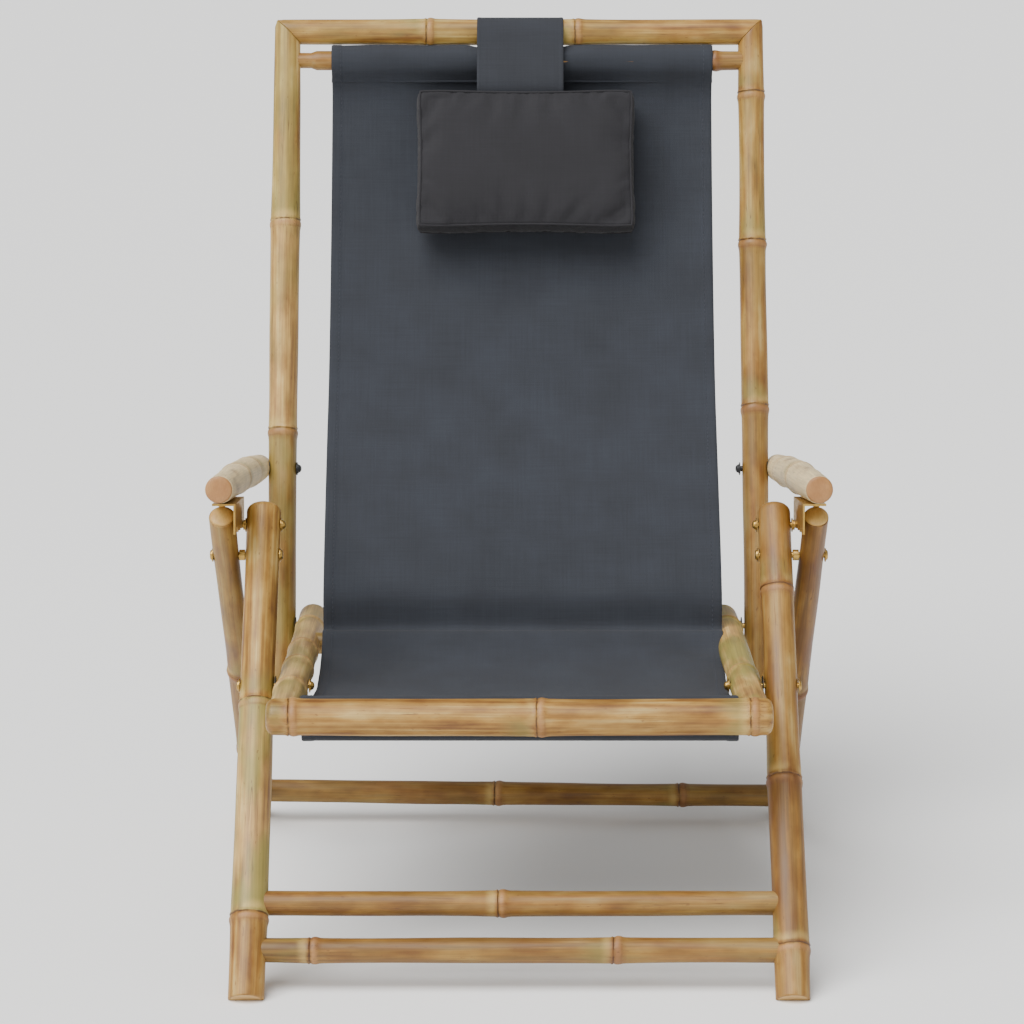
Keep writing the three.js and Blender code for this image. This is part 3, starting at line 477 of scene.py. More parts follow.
def plated_material(name, base, worn, roughness):
    material, tree = start_material(name)
    place = add(tree, "TexCoord").outputs["Object"]
    cloud_scale = 1 / (PLATING_CLOUD_MM * MM)
    cloud = add(tree, "TexNoise", links={"Vector": place, "Scale": cloud_scale, "Detail": 3.0})
    lengths = SCRATCH_LENGTHS_PER_MM / MM
    spacing = (SCRATCHES_PER_MM / MM, lengths, lengths)
    lines = add(tree, "Mapping", links={"Vector": place, "Scale": spacing})
    scratch = add(tree, "TexNoise", links={"Vector": lines, "Scale": 1.0, "Detail": 2.0})
    colour = add(tree, "ValToRGB", {"stops": [(0.3, base), (0.7, worn)]}, {"Fac": cloud})
    rough = add(
        tree,
        "MapRange",
        links={
            "Value": scratch,
            "From Min": 0.3,
            "From Max": 0.7,
            "To Min": roughness,
            "To Max": roughness + 0.16,
        },
    )
    depth = SCRATCH_DEPTH_MM * MM
    normal = add(tree, "Bump", links={"Height": scratch, "Strength": 0.2, "Distance": depth})
    finish_material(tree, colour, {"Metallic": 1.0}, rough, normal)
    return material


def nylon_material():
    material, tree = start_material("nylon_moulded_black")
    place = add(tree, "TexCoord").outputs["Object"]
    grain_scale = 1 / (NYLON_GRAIN_MM * MM)
    spark = add(tree, "TexNoise", links={"Vector": place, "Scale": grain_scale, "Detail": 2.0})
    colour = add(tree, "ValToRGB", {"stops": [(0.3, "#17181a"), (0.7, "#222326")]}, {"Fac": spark})
    depth = NYLON_DEPTH_MM * MM
    normal = add(tree, "Bump", links={"Height": spark, "Strength": 0.25, "Distance": depth})
    finish_material(tree, colour, {"IOR": 1.53, "Roughness": 0.42}, None, normal)
    return material


BRASS = plated_material("steel_yellow_zinc_plated", "#af8946", "#bf9d57", 0.3)
ZINC = plated_material("steel_zinc_plated", "#3d3d3c", "#57554f", 0.42)
BLACK_CAP = nylon_material()
print(BRASS.name, ZINC.name, BLACK_CAP.name)

# %% [markdown]
# ## Meshes from lists
# Every new piece is a mesh made from lists of points and faces. Primitives with modifiers would do
# for a plain bar, but a cane needs its rings exactly where its knots are. One function turns the
# lists into an object with its finish, smooths it but keeps its sharp edges, ties it to its body
# and hides the CAD nodes that it replaces.

# %% A piece from points and faces
SHARP_ANGLE = math.radians(38)


def new_piece(name, points, faces, material, body, stands_for=(), sharp=True):
    mesh = bpy.data.meshes.new(name)
    mesh.from_pydata([tuple(p) for p in points], [], faces)
    mesh.materials.append(material)
    mesh.shade_smooth()
    shape = bmesh.new()
    shape.from_mesh(mesh)
    bmesh.ops.recalc_face_normals(shape, faces=shape.faces)
    if sharp:
        for edge in shape.edges:
            if len(edge.link_faces) == 2 and edge.calc_face_angle() > SHARP_ANGLE:
                edge.smooth = False
    shape.to_mesh(mesh)
    shape.free()
    piece = bpy.data.objects.new(name, mesh)
    bpy.context.collection.objects.link(piece)
    if body:
        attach(piece, body)
    if stands_for:
        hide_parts(*stands_for)
    return piece


def store(piece, name, kind, values):
    attribute = piece.data.attributes.new(name, kind, "POINT")
    field = "vector" if kind == "FLOAT_VECTOR" else "value"
    attribute.data.foreach_set(field, np.asarray(values, dtype=np.float32).ravel())


def ring_faces(rows, around):
    """Quads between rings of points, with a fan at the first and the last single point."""
    faces = []
    for i in range(around):
        j = (i + 1) % around
        faces.append((0, 1 + j, 1 + i))
    for row in range(rows - 1):
        first = 1 + row * around
        for i in range(around):
            j = (i + 1) % around
            faces.append((first + i, first + j, first + around + j, first + around + i))
    last = 1 + (rows - 1) * around
    for i in range(around):
        j = (i + 1) % around
        faces.append((last + i, last + j, last + around))
    return faces


print("faces of a three-ring rod:", len(ring_faces(3, 8)))

# %% [markdown]
# ## Canes
# A bamboo cane isn't a cylinder. It is a little out of round, each stretch between two knots leans
# its own way, and at a knot there is a thin scar and above it a soft swelling, often with the stub
# of a bud. The rings of the mesh lie close together at the knots and the ends, and wide apart
# elsewhere. An end may be cut square, rounded, mitred or hollowed: each is a surface that says how
# far the cane reaches at any place of its section, so one routine serves them all.

# %% The cane's outline
AROUND = 36
RING_STEP_MM = 6.0
BELOW_KNOT_MM = [-11, -8, -5.5, -3.6, -2.4, -1.6, -1.0, -0.5]
ABOVE_KNOT_MM = [0.0, 0.5, 1.0, 1.6, 2.4, 3.4, 4.6, 6, 7.6, 9.4, 12]
NEAR_KNOT_MM = BELOW_KNOT_MM + ABOVE_KNOT_MM
KNOT_ZONE_MM = 13
RING_GAP_MM = 0.5
CAP_SHARES = [0.25, 0.5, 0.75, 0.92]
ROUNDING_STEPS = 7
END_ZONE_SHARE = 2.4
# How high each form at a knot stands, how far above the scar, and how far it spreads, in mm.
SWELLING_FORM_MM = (1.15, 4.6, 3.8)
LIP_FORM_MM = (0.7, -1.2, 1.1)
GROOVE_FORM_MM = (-0.5, 0.4, 0.7)
SHOULDER_FORM_MM = (0.4, 0.0, 22)
KNOT_FORMS_MM = [SWELLING_FORM_MM, LIP_FORM_MM, GROOVE_FORM_MM, SHOULDER_FORM_MM]
BUD_ABOVE_MM = 5.0
BUD_LENGTH_MM = 4.0
BUD_HALF_TURN = 0.26


def knot_height(distance):
    """How far the skin stands out, in mm, at a distance above the scar."""
    total = 0.0
    for height, place, spread in KNOT_FORMS_MM:
        total = total + height * np.exp(-(((distance - place) / spread) ** 2))
    return total


def stations(length, knots, first_depth, last_depth):
    marks = [k * length + d for k in knots for d in NEAR_KNOT_MM]
    lowest = first_depth + RING_GAP_MM
    highest = length - last_depth - RING_GAP_MM
    marks = [m for m in marks if lowest < m < highest]
    steps = np.linspace(first_depth, length - last_depth, max(3, int(length / RING_STEP_MM)))
    keep = [s for s in steps[1:-1] if all(abs(s - k * length) > KNOT_ZONE_MM for k in knots)]
    return np.array(sorted([steps[0], *keep, *marks, steps[-1]]))


def bud(distance, angle, bud_angle, size):
    turn = np.angle(np.exp(1j * (angle - bud_angle)))
    off = (distance - BUD_ABOVE_MM) / BUD_LENGTH_MM
    return size * np.exp(-(off**2) - (turn / BUD_HALF_TURN) ** 2)


print("a knot stands", round(float(knot_height(np.array(4.0))), 2), "mm proud")

# %% [markdown]
# The cane routine works in straight coordinates: around the section and along the cane. It bends
# and places the points only at the end, and stores the straight ones for the bamboo pattern.


# %% The ends of a cane
class End:
    """An end of a cane: how far its edge is rounded, in mm, and where its surface lies."""

    def __init__(self, rounding=1.2, depth=None, surface=None):
        self.rounding = rounding
        self.depth = rounding if depth is None else depth
        self.surface = surface


def plane_end(point, normal):
    def reach(start, way):
        return (start - point).dot(normal) / -way.dot(normal)

    return reach


def hollow_end(axis_point, radius):
    def reach(start, way):
        side = in_side_view(axis_point - start)
        along = side.dot(way)
        off = side - way * along
        return along + math.sqrt(max(radius**2 - off.length_squared, 0))

    return reach


def cane_rows(length, knots, first, last):
    """Each ring's place, what its edge loses, its share of the radius, and 1 on a cut end."""
    turns = np.linspace(math.pi / 2, 0, ROUNDING_STEPS)
    marks = stations(length, knots, first.depth, last.depth)
    rows = [(0.0, first.rounding, share, 1.0) for share in CAP_SHARES]
    for t in turns:
        loss = first.rounding * (1 - math.cos(t))
        rows.append((first.depth * (1 - math.sin(t)), loss, 1.0, 0.0))
    rows += [(s, 0.0, 1.0, 0.0) for s in marks[1:-1]]
    for t in turns[::-1]:
        loss = last.rounding * (1 - math.cos(t))
        rows.append((length - last.depth * (1 - math.sin(t)), loss, 1.0, 0.0))
    rows += [(length, last.rounding, share, 1.0) for share in CAP_SHARES[::-1]]
    return [np.array(column)[:, None] for column in zip(*rows)]


print("rings of a plain cane:", len(cane_rows(400, [0.5], End(), End())[0]))

# %% [markdown]
# Between its knots a cane has slow waves, is a little oval and has shallow dents. Each is a sine
# with a height and a length in millimetres, and a start drawn by chance. The distance to the nearest
# knot is kept for the pattern. Far above a knot it grows quickly, so that halfway to the next one,
# where it jumps from one knot to the other, no colour of a knot can show.

# %% The skin of a cane
FAR_FROM_KNOT_MM = 400.0
PAST_KNOT_MM = 14
PAST_KNOT_GROWTH = 200
SLOW_WAVE_MM = (0.3, 71)
QUICK_WAVE_MM = (0.12, 23)
OVAL_MM = (0.2, 160)
DENTS_MM = (0.12, 37)


def cane_skin(rng, s, angle, length, knots, radius, flip):
    """The radius, in mm, at every ring and turn, and the distance to the nearest knot."""
    swell = np.zeros((len(s), AROUND))
    nearest = np.full((len(s), AROUND), FAR_FROM_KNOT_MM)
    for place in knots:
        tilt = rng.uniform(0.2, 0.9) * np.sin(angle + rng.uniform(0, 6.28))
        distance = (s - place * length + tilt[None, :]) * flip
        swell += knot_height(distance) * rng.uniform(0.75, 1.1)
        swell += bud(distance, angle[None, :], rng.uniform(0, 6.28), rng.uniform(0.2, 0.7))
        closer = np.abs(distance) < np.abs(nearest)
        nearest = np.where(closer, distance, nearest)
    nearest += np.clip(nearest - PAST_KNOT_MM, 0, None) * PAST_KNOT_GROWTH
    slow = SLOW_WAVE_MM[0] * np.sin(s / SLOW_WAVE_MM[1] + rng.uniform(0, 6))
    quick = QUICK_WAVE_MM[0] * np.sin(s / QUICK_WAVE_MM[1] + rng.uniform(0, 6))
    oval = OVAL_MM[0] * np.cos(2 * angle[None, :] + rng.uniform(0, 6) + s / OVAL_MM[1])
    dents = DENTS_MM[0] * np.sin(3 * angle[None, :] + s / DENTS_MM[1] + rng.uniform(0, 6))
    return radius + (slow + quick) + oval + dents + swell, nearest


most_uneven = SLOW_WAVE_MM[0] + QUICK_WAVE_MM[0] + DENTS_MM[0]
print("waves and dents stand", round(most_uneven, 2), "mm at most")

# %% [markdown]
# The cane's own numbers come from its name, so it looks the same each time. Its end rings are moved
# onto the surfaces that cut it, each stretch between two knots leans a little, and a bow may bend
# the whole. A tone says how brown and how olive it is, for all of it or for each stretch.


# %% The cane routine
def cane(
    name, body, start, end, diameter, knots, first, last, tone,
    bend=0.5, flip=1, bow=(0.0, 0.0), extra=None,
):
    rng = np.random.default_rng(sum(ord(c) * (i + 3) for i, c in enumerate(name)))
    way = way_between(start, end)
    length = (end - start).length / MM
    side = ACROSS if abs(way.x) < 0.7 else UP
    second = way.cross(side).normalized()
    side = second.cross(way).normalized()
    angle = np.arange(AROUND) * 2 * math.pi / AROUND
    s, drop, share, cap = cane_rows(length, knots, first, last)
    skin, nearest = cane_skin(rng, s, angle, length, knots, diameter / 2, flip)
    if extra:
        skin = skin + extra(s, length)
    skin = (skin - drop) * share
    u = skin * np.cos(angle)[None, :]
    v = skin * np.sin(angle)[None, :]
    along = np.repeat(s, AROUND, axis=1)
    zone = END_ZONE_SHARE * diameter
    for spec, origin, sign in ((first, 0.0, 1), (last, length, -1)):
        if spec.surface is None:
            continue
        weight = np.clip(1 - sign * (along - origin) / zone, 0, 1)
        for i, j in np.argwhere(weight > 0):
            point = start + (side * u[i, j] + second * v[i, j]) * MM
            reach = spec.surface(point, way) / MM
            along[i, j] += (reach - origin) * weight[i, j]
    kinks = [0, *[k * length for k in knots], length]
    arch = np.sin(math.pi * np.clip(along / length, 0, 1))[..., None] ** 2
    bowed = arch * np.array([bow[0], 0, bow[1]])
    shift_u = np.interp(along, kinks, [0, *rng.uniform(-bend, bend, len(knots)), 0])
    shift_v = np.interp(along, kinks, [0, *rng.uniform(-bend, bend, len(knots)), 0])
    from_axis = (u + shift_u)[..., None] * np.array(side) + (v + shift_v)[..., None] * np.array(second)
    placed = np.array(start) + MM * (from_axis + along[..., None] * np.array(way) + bowed)
    points = [placed[0].mean(axis=0), *placed.reshape(-1, 3), placed[-1].mean(axis=0)]
    piece = new_piece(name, points, ring_faces(len(s), AROUND), BAMBOO, body, [name])
    offset = rng.uniform(0, 4000)
    straight = np.stack([u, v, along + offset], axis=-1).reshape(-1, 3)
    straight = np.vstack([[0, 0, offset], straight, [0, 0, offset + length]])
    store(piece, "grain", "FLOAT_VECTOR", straight)
    store(piece, "knot", "FLOAT", [FAR_FROM_KNOT_MM, *nearest.ravel(), FAR_FROM_KNOT_MM])
    tones = tone if isinstance(tone, list) else [tone]
    stretch = np.searchsorted(kinks[1:-1], s[:, 0]) if isinstance(tone, list) else s[:, 0] * 0
    pairs = np.array(tones)[stretch.astype(int)]
    shades = np.repeat(np.hstack([pairs, cap]), AROUND, axis=0)
    shades = np.vstack([[*pairs[0], 1], shades, [*pairs[-1], 1]])
    store(piece, "tone", "FLOAT_VECTOR", shades)
    return piece


print("cane routine ready")

# %% [markdown]
# ## The two pairs of legs
# The front legs lean back from the floor, are cut square at the foot and rounded at the top. The
# rear legs are thinner, cross outside them, and end in a plug under the armrest. Their lines run
# through the two pivots, so they are drawn from those. The knots' places follow the photograph.

# %% Legs
LEG_MM = 34
LEG_SIDE_MM = {"left": 34.4, "right": 32.6}
REAR_LEG_MM = 25.5
LEG_ABOVE_PIVOT_MM = 55.6
REAR_LEG_ABOVE_PIVOT_MM = 64
leg_x = abs(centre("front_leg_left").x)
rear_leg_x = abs(centre("rear_leg_left").x)
foot = to_floor(leg_pivot, leg_way)
leg_top = leg_pivot + leg_way * LEG_ABOVE_PIVOT_MM * MM
rear_way = way_between(in_side_view(centre("rear_crossbar")), leg_pivot)
rear_foot = to_floor(leg_pivot, rear_way)
rear_top = leg_pivot + rear_way * REAR_LEG_ABOVE_PIVOT_MM * MM
SQUARE = End(1.4)
SAWN = End(0.8)
LEG_TOP = End(11.0, 8.5)
RAIL_TAIL = End(8.0, 6.0)
LEG_KNOTS = {"left": [0.16, 0.583], "right": [0.1, 0.43, 0.82]}
REAR_LEG_KNOTS = {"left": [0.25, 0.52], "right": [0.2, 0.46]}
LEG_TONES = {
    "left": [(0.3, 0.1), (-0.15, 0.75), (0.1, 0.1)],
    "right": [(0.5, 0.1), (0.9, 0.05), (0.5, 0.1), (0.65, 0.0)],
}
REAR_LEG_TONES = {
    "left": [(0.5, 0.2), (0.6, 0.1), (0.5, 0.2)],
    "right": [(0.7, 0.2), (0.9, 0.1), (0.9, 0.0)],
}


def flat_on_floor(piece):
    for vertex in piece.data.vertices:
        vertex.co.z = max(vertex.co.z, 0.0)


for side, sign in SIDES.items():
    leg = cane(
        f"front_leg_{side}", "front_legs", at_x(foot, sign * leg_x), at_x(leg_top, sign * leg_x),
        LEG_SIDE_MM[side], LEG_KNOTS[side], SQUARE, LEG_TOP, LEG_TONES[side], flip=-1,
    )
    flat_on_floor(leg)
    rear = cane(
        f"rear_leg_{side}", "rear_legs", at_x(rear_foot, sign * rear_leg_x),
        at_x(rear_top, sign * rear_leg_x), REAR_LEG_MM, REAR_LEG_KNOTS[side], SQUARE,
        SAWN, REAR_LEG_TONES[side], flip=-1,
    )
    flat_on_floor(rear)
print("front legs are", round((leg_top - foot).length / MM), "mm long")

# %% [markdown]
# ## Crossbars and rods
# Thinner canes join the legs. Each is pushed into a hole in the leg, so the visible bar runs a few
# millimetres into it. The top cloth rod was whittled at one end to fit its hole, which shows as a
# pale neck.

# %% Crossbars
INTO_CANE_MM = 7
CROSSBAR_MM = 24
REAR_CROSSBAR_MM = 25
REAR_CROSSBAR_TILT_MM = 3
SEAT_BAR_MM = 22
FRONT_ROD_MM = 22
TOP_ROD_MM = 21
NECK_MM = 19.0
NECK_FADE_MM = 2.5
NECK_THINNER_MM = 2.2


def crossbar(name, body, diameter, knots, reach, tone, bend=1.0, extra=None, tilt=0.0):
    at = in_side_view(centre(name))
    start = at_x(at, -reach) + UP * tilt * MM
    end = at_x(at, reach) - UP * tilt * MM
    return cane(name, body, start, end, diameter, knots, SAWN, SAWN, tone, bend, extra=extra)


def whittled(s, length):
    """A neck that is thinner by this radius, in mm, with a soft shoulder."""
    fade = np.clip((s - NECK_MM) / NECK_FADE_MM, 0, 1)
    return -NECK_THINNER_MM * (1 - fade * fade * (3 - 2 * fade))


leg_inside = leg_x - (LEG_MM / 2 - INTO_CANE_MM) * MM
rear_inside = rear_leg_x - (REAR_LEG_MM / 2 - INTO_CANE_MM) * MM
seat_rail_x = abs(centre("seat_rail_left").x)
upright_x = abs(centre("back_upright_left").x)
ARMREST_MM = 27.5
SEAT_RAIL_MM = 31
UPRIGHT_MM = 28
UPRIGHT_SIDE_MM = {"left": 28.8, "right": 27.6}
UPRIGHT_ASIDE_MM = {-1: 0.0, 1: 1.8}
UPRIGHT_BOWS_MM = {"left": (-0.8, 0), "right": (0.3, 0)}
UPRIGHT_FULLER_MM = {"left": 1.3, "right": 0.4}
rail_inside = seat_rail_x - (SEAT_RAIL_MM / 2 - INTO_CANE_MM) * MM
upright_inside = upright_x - (UPRIGHT_MM / 2 - INTO_CANE_MM) * MM
# Both front crossbars are toned browner: partly their own colour, partly painted shade of their
# undersides.
crossbar(
    "front_crossbar_upper", "front_legs", CROSSBAR_MM, [0.46], leg_inside,
    [(0.75, 0.1), (0.6, 0.2)],
)
crossbar(
    "front_crossbar_lower", "front_legs", CROSSBAR_MM, [0.1, 0.68], leg_inside,
    [(1.0, 0.2), (0.85, 0.1), (0.7, 0.2)],
)
crossbar(
    "rear_crossbar", "rear_legs", REAR_CROSSBAR_MM, [0.455, 0.81], rear_inside,
    [(0.7, 0.2), (0.6, 0.1), (0.7, 0.2)], tilt=REAR_CROSSBAR_TILT_MM,
)
crossbar("seat_crossbar", "seat_frame", SEAT_BAR_MM, [0.4, 0.8], rail_inside, (0.4, 0.4), 0.5)
crossbar("seat_canvas_rod", "seat_frame", FRONT_ROD_MM, [0.5], rail_inside, (0.4, 0.4), 0.4)
crossbar(
    "back_canvas_rod", "back_frame", TOP_ROD_MM, [0.93], upright_inside,
    (0.55, 0.1), 0.4, extra=whittled,
)
print("crossbars between x", round(-leg_inside, 3), "and", round(leg_inside, 3))

# %% [markdown]
# ## Seat frame and back frame
# The seat's side rails are hollowed at the front so that they sit on the round front rail. The
# uprights and the top rail meet in mitres, whose outer corners were rounded off. A boolean could cut
# these, but it would leave long thin faces, so the end rings are moved onto the cutting surface.

# %% Rails
FRONT_RAIL_MM = 35
TOP_RAIL_MM = 28
FIT_MM = 0.3
SEAT_TAIL_MM = 49
BACK_TAIL_MM = 64
RAIL_END = End(9.0, 7.5)
seat_tail = back_pivot + seat_way * SEAT_TAIL_MM * MM
back_tail = back_pivot - back_way * BACK_TAIL_MM * MM
rail_ends = abs(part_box("seat_front_rail")[0][0])
SEAT_RAIL_KNOTS = {"left": [0.2, 0.42, 0.6, 0.84], "right": [0.34, 0.84]}
UPRIGHT_KNOTS = {"left": [0.385, 0.705], "right": [0.42, 0.674, 0.904]}
SEAT_RAIL_TONES = {"left": (-0.25, 0.45), "right": (-0.1, 0.85)}
# A tone below 0 is cream, on the left upright partly painted highlight.
UPRIGHT_TONES = {
    "left": [(0.5, 0.5), (-0.1, 0.35), (-0.05, 0.55)],
    "right": [(0.6, 0.2), (0.45, 0.2), (0.3, 0.35), (0.35, 0.1)],
}
on_front_rail = hollow_end(front_rail, (FRONT_RAIL_MM / 2 + FIT_MM) * MM)
cane(
    "seat_front_rail", "seat_frame", at_x(front_rail, -rail_ends), at_x(front_rail, rail_ends),
    FRONT_RAIL_MM, [0.045, 0.535, 0.955], RAIL_END, RAIL_END, (0.3, 0.05), 0.8,
)


def seat_rail(side, sign):
    return cane(
        f"seat_rail_{side}", "seat_frame", at_x(front_rail, sign * seat_rail_x),
        at_x(seat_tail, sign * seat_rail_x), SEAT_RAIL_MM, SEAT_RAIL_KNOTS[side],
        End(0.5, surface=on_front_rail), RAIL_TAIL, SEAT_RAIL_TONES[side], 0.4,
    )


def on_upright(point, sign):
    return at_x(point, sign * (upright_x + UPRIGHT_ASIDE_MM[sign] * MM))


def fuller(middle):
    """A cane that is thicker in the middle than at its ends, by this radius in mm."""
    return lambda s, length: middle * np.sin(math.pi * np.clip(s / length, 0, 1))


def mitre(sign, outwards):
    normal = (ACROSS * sign - back_way).normalized()
    point = on_upright(top_rail, sign) + normal * outwards * FIT_MM / 2 * MM
    return End(0.7, surface=plane_end(point, normal))


def round_corner(piece, limits):
    """Rounds off what stands past the corner, where an upright meets the top rail."""
    for vertex in piece.data.vertices:
        sign = -1 if vertex.co.x < 0 else 1
        out = abs(vertex.co.x) - upright_x - UPRIGHT_ASIDE_MM[sign] * MM
        up = (vertex.co - top_rail).dot(back_way)
        past = math.hypot(out, up)
        limit = limits[sign] * MM
        if out > 0 and up > 0 and past > limit:
            vertex.co.x += sign * out * (limit / past - 1)
            vertex.co += back_way * up * (limit / past - 1)


CORNER_LIMITS_MM = {-1: 16.0, 1: 17.2}
for side, sign in SIDES.items():
    seat_rail(side, sign)
    upright = cane(
        f"back_upright_{side}", "back_frame", on_upright(back_tail, sign),
        on_upright(top_rail, sign), UPRIGHT_SIDE_MM[side], UPRIGHT_KNOTS[side],
        RAIL_TAIL, mitre(sign, 1), UPRIGHT_TONES[side], 0.6, -1, UPRIGHT_BOWS_MM[side],
        extra=fuller(UPRIGHT_FULLER_MM[side]),
    )
    round_corner(upright, CORNER_LIMITS_MM)
rail = cane(
    "back_top_rail", "back_frame", on_upright(top_rail, -1), on_upright(top_rail, 1),
    TOP_RAIL_MM, [0.3, 0.62], mitre(-1, -1), mitre(1, -1), (0.2, 0.3), 0.7,
)
round_corner(rail, CORNER_LIMITS_MM)
print("frame is", round(2 * upright_x / MM), "mm between the uprights' middles")

# %% [markdown]
# ## Armrests
# Each armrest is a pale root end of a cane, where the knots lie close together and show as shallow
# ripples. It swings on a bolt in the upright and leans slightly outwards to the front. Its line runs
# from that bolt to the plug in its front end.

# %% Armrests
ARM_TAIL_MM = 28
ARM_BOW_MM = (0, 2.2)
ARM_FULLER_MM = 2.0
RIPPLE_MM = 0.6
RIPPLE_LENGTH_MM = 4.5
PLUG_FRONT_MM = 3
ARM_KNOTS = {"left": [0.32, 0.61], "right": [0.25, 0.58]}
RIPPLES = {"left": [0.2, 0.42, 0.5, 0.72], "right": [0.36, 0.46, 0.7, 0.8]}
arm_x = abs(frame["joints"][3]["pos_m"][0])


def rippled(places):
    def swell(s, length):
        total = ARM_FULLER_MM * np.sin(np.clip(s / length, 0, 1) * math.pi) ** 0.6
        for place in places:
            off = (s - place * length) / RIPPLE_LENGTH_MM
            total = total + RIPPLE_MM * np.exp(-(off**2))
        return total

    return swell


arms = {}
for side, sign in SIDES.items():
    pivot = at_x(arm_pivot, sign * arm_x)
    plug_middle = centre(f"armrest_plug_{side}")
    arm_way = way_between(pivot, plug_middle)
    arm_front = plug_middle + arm_way * PLUG_FRONT_MM * MM
    arm_rear = pivot - arm_way * ARM_TAIL_MM * MM
    arms[side] = (arm_front, arm_way)
    # Their tone of -0.9 is a cream, partly their own colour and partly painted highlight.
    cane(
        f"armrest_{side}", f"{side}_armrest", arm_rear, arm_front, ARMREST_MM, ARM_KNOTS[side],
        RAIL_TAIL, End(0.6), (-0.9, 0.05), 0.4, 1, ARM_BOW_MM, rippled(RIPPLES[side]),
    )
print("armrests are", round((arm_front - arm_rear).length / MM), "mm long")

# %% [markdown]
# ## Turned pieces
# Plugs, bolts, nuts and washers are round about an axis, so each is a half outline turned round it,
# as on a lathe. A dome is a quarter circle in the outline, and a small flat at each rim stands for
# the broken edge that catches the light.


# %% Lathe
def turned(name, outline, start, way, body, material, stands_for=(), around=32):
    way = way.normalized()
    side = (ACROSS if abs(way.x) < 0.7 else UP).cross(way).normalized()
    second = way.cross(side)
    points = [start + way * outline[0][1] * MM]
    for radius, height in outline[1:-1]:
        for i in range(around):
            turn = 2 * math.pi * i / around
            ring = side * math.cos(turn) + second * math.sin(turn)
            points.append(start + (ring * radius + way * height) * MM)
    points.append(start + way * outline[-1][1] * MM)
    faces = ring_faces(len(outline) - 2, around)
    return new_piece(name, points, faces, material, body, stands_for)


def dome(radius, height, steps=8):
    """A quarter ellipse, from the rim up to the tip."""
    turns = [math.pi / 2 * i / steps for i in range(steps)]
    return [(radius * math.cos(t), height * math.sin(t)) for t in turns]


# Half outlines as (radius, height) pairs in mm, from inside the cane outwards.
ARM_PLUG_MM = [(0, -8), (12.2, -8), (12.2, 0.3), (13.1, 0.5), (13.3, 2.0)]
ARM_PLUG_MM += [(12.8, 3.0), (11.6, 3.6), (8, 3.9), (4, 4.0), (0, 4.0)]
LEG_PLUG_MM = [(0, -8), (10.5, -8), (10.5, 0.2), (11.7, 0.4), (11.8, 0.9)]
LEG_PLUG_MM += [(r, 0.9 + h) for r, h in dome(11.6, 2.4)] + [(0, 3.3)]
PLUG_AROUND = 48
for side, sign in SIDES.items():
    arm_front, arm_way = arms[side]
    name = f"armrest_plug_{side}"
    turned(
        name, ARM_PLUG_MM, arm_front, arm_way, f"{side}_armrest", ROSY_PLUG,
        [name], PLUG_AROUND,
    )
    top = at_x(rear_top, sign * rear_leg_x)
    name = f"rear_leg_plug_{side}"
    turned(
        name, LEG_PLUG_MM, top, rear_way, "rear_legs", PALE_PLUG,
        [name], PLUG_AROUND,
    )
print("plugs turned")

# %% [markdown]
# Each bolt runs along X through the canes it holds, with a domed nut and a washer on its inner end
# and a low head outside. The bolts where the legs cross have low heads at both ends, and the
# notched plates drop onto the bare outer ends of the lock bolts. All lengths along the bolts are
# read from their nodes' boxes. Nearly all washers are as wide as their nodes. Only the spacers
# between the legs are slimmer, as the photograph shows nothing of them beside the canes.

# %% Bolts and washers
NUT_MM = 5
NUT_HEIGHT_MM = 4.2
WASHER_EDGE_MM = 7
WASHER_MM = 1.1
SHANK_MM = 3
SPACER_MM = 5.5
COLLAR_FROM_END_MM = 2.9
HEAD_HEIGHT_MM = NUT_HEIGHT_MM / 2


def nut_end():
    """The outline of a domed nut, from its tip down to its flat face."""
    dome_height = NUT_HEIGHT_MM - 1.2
    tip = [(r, dome_height - h) for r, h in dome(NUT_MM - 0.7, dome_height, 6)]
    skirt = [(NUT_MM - 0.35, dome_height), (NUT_MM, NUT_HEIGHT_MM - 0.9), (NUT_MM, NUT_HEIGHT_MM)]
    return [(0, 0), *tip[::-1], *skirt]


def washer_step(height):
    """The outline of a washer with broken edges, from its near face to its far one."""
    edge = WASHER_EDGE_MM
    top = height + WASHER_MM
    return [(edge - 0.25, height), (edge, height + 0.2), (edge, top - 0.2), (edge - 0.25, top)]


def low_head(height):
    """The outline of a low rounded head, from its flat top down to its rim."""
    return [(NUT_MM - 1.6, height), (NUT_MM - 0.5, height + 0.4), (NUT_MM, height + 1.1)]


def bolt(name, body, material):
    low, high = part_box(name)
    sign = 1 if high[0] > 0 else -1
    inner = min(abs(low[0]), abs(high[0]))
    length = (max(abs(low[0]), abs(high[0])) - inner) / MM
    start = at_x(centre(name), sign * inner)
    near = [*nut_end(), *washer_step(NUT_HEIGHT_MM)]
    if name.startswith("leg_pivot"):
        rim = (NUT_MM, NUT_HEIGHT_MM)
        near = [(0, HEAD_HEIGHT_MM), *low_head(HEAD_HEIGHT_MM), rim, *washer_step(NUT_HEIGHT_MM)]
    grip = NUT_HEIGHT_MM + WASHER_MM
    if name.startswith("lock_bolt"):
        far_face = grip + LEG_MM + 2 * FIT_MM
        collar = length - COLLAR_FROM_END_MM
        tail = [(NUT_MM, far_face + WASHER_MM), (NUT_MM, collar), (SHANK_MM, collar)]
        tail += [(SHANK_MM, length - 0.3), (SHANK_MM - 0.3, length), (0, length)]
    else:
        far_face = length - HEAD_HEIGHT_MM - WASHER_MM
        tail = [(NUT_MM, length - HEAD_HEIGHT_MM), (NUT_MM, length - 1.1)]
        tail += [(NUT_MM - 0.5, length - 0.4), (NUT_MM - 1.6, length), (0, length)]
    shank = [(SHANK_MM, grip), (SHANK_MM, far_face)]
    outline = [*near, *shank, *washer_step(far_face), *tail]
    return turned(name, outline, start, ACROSS * sign, body, material, [name])


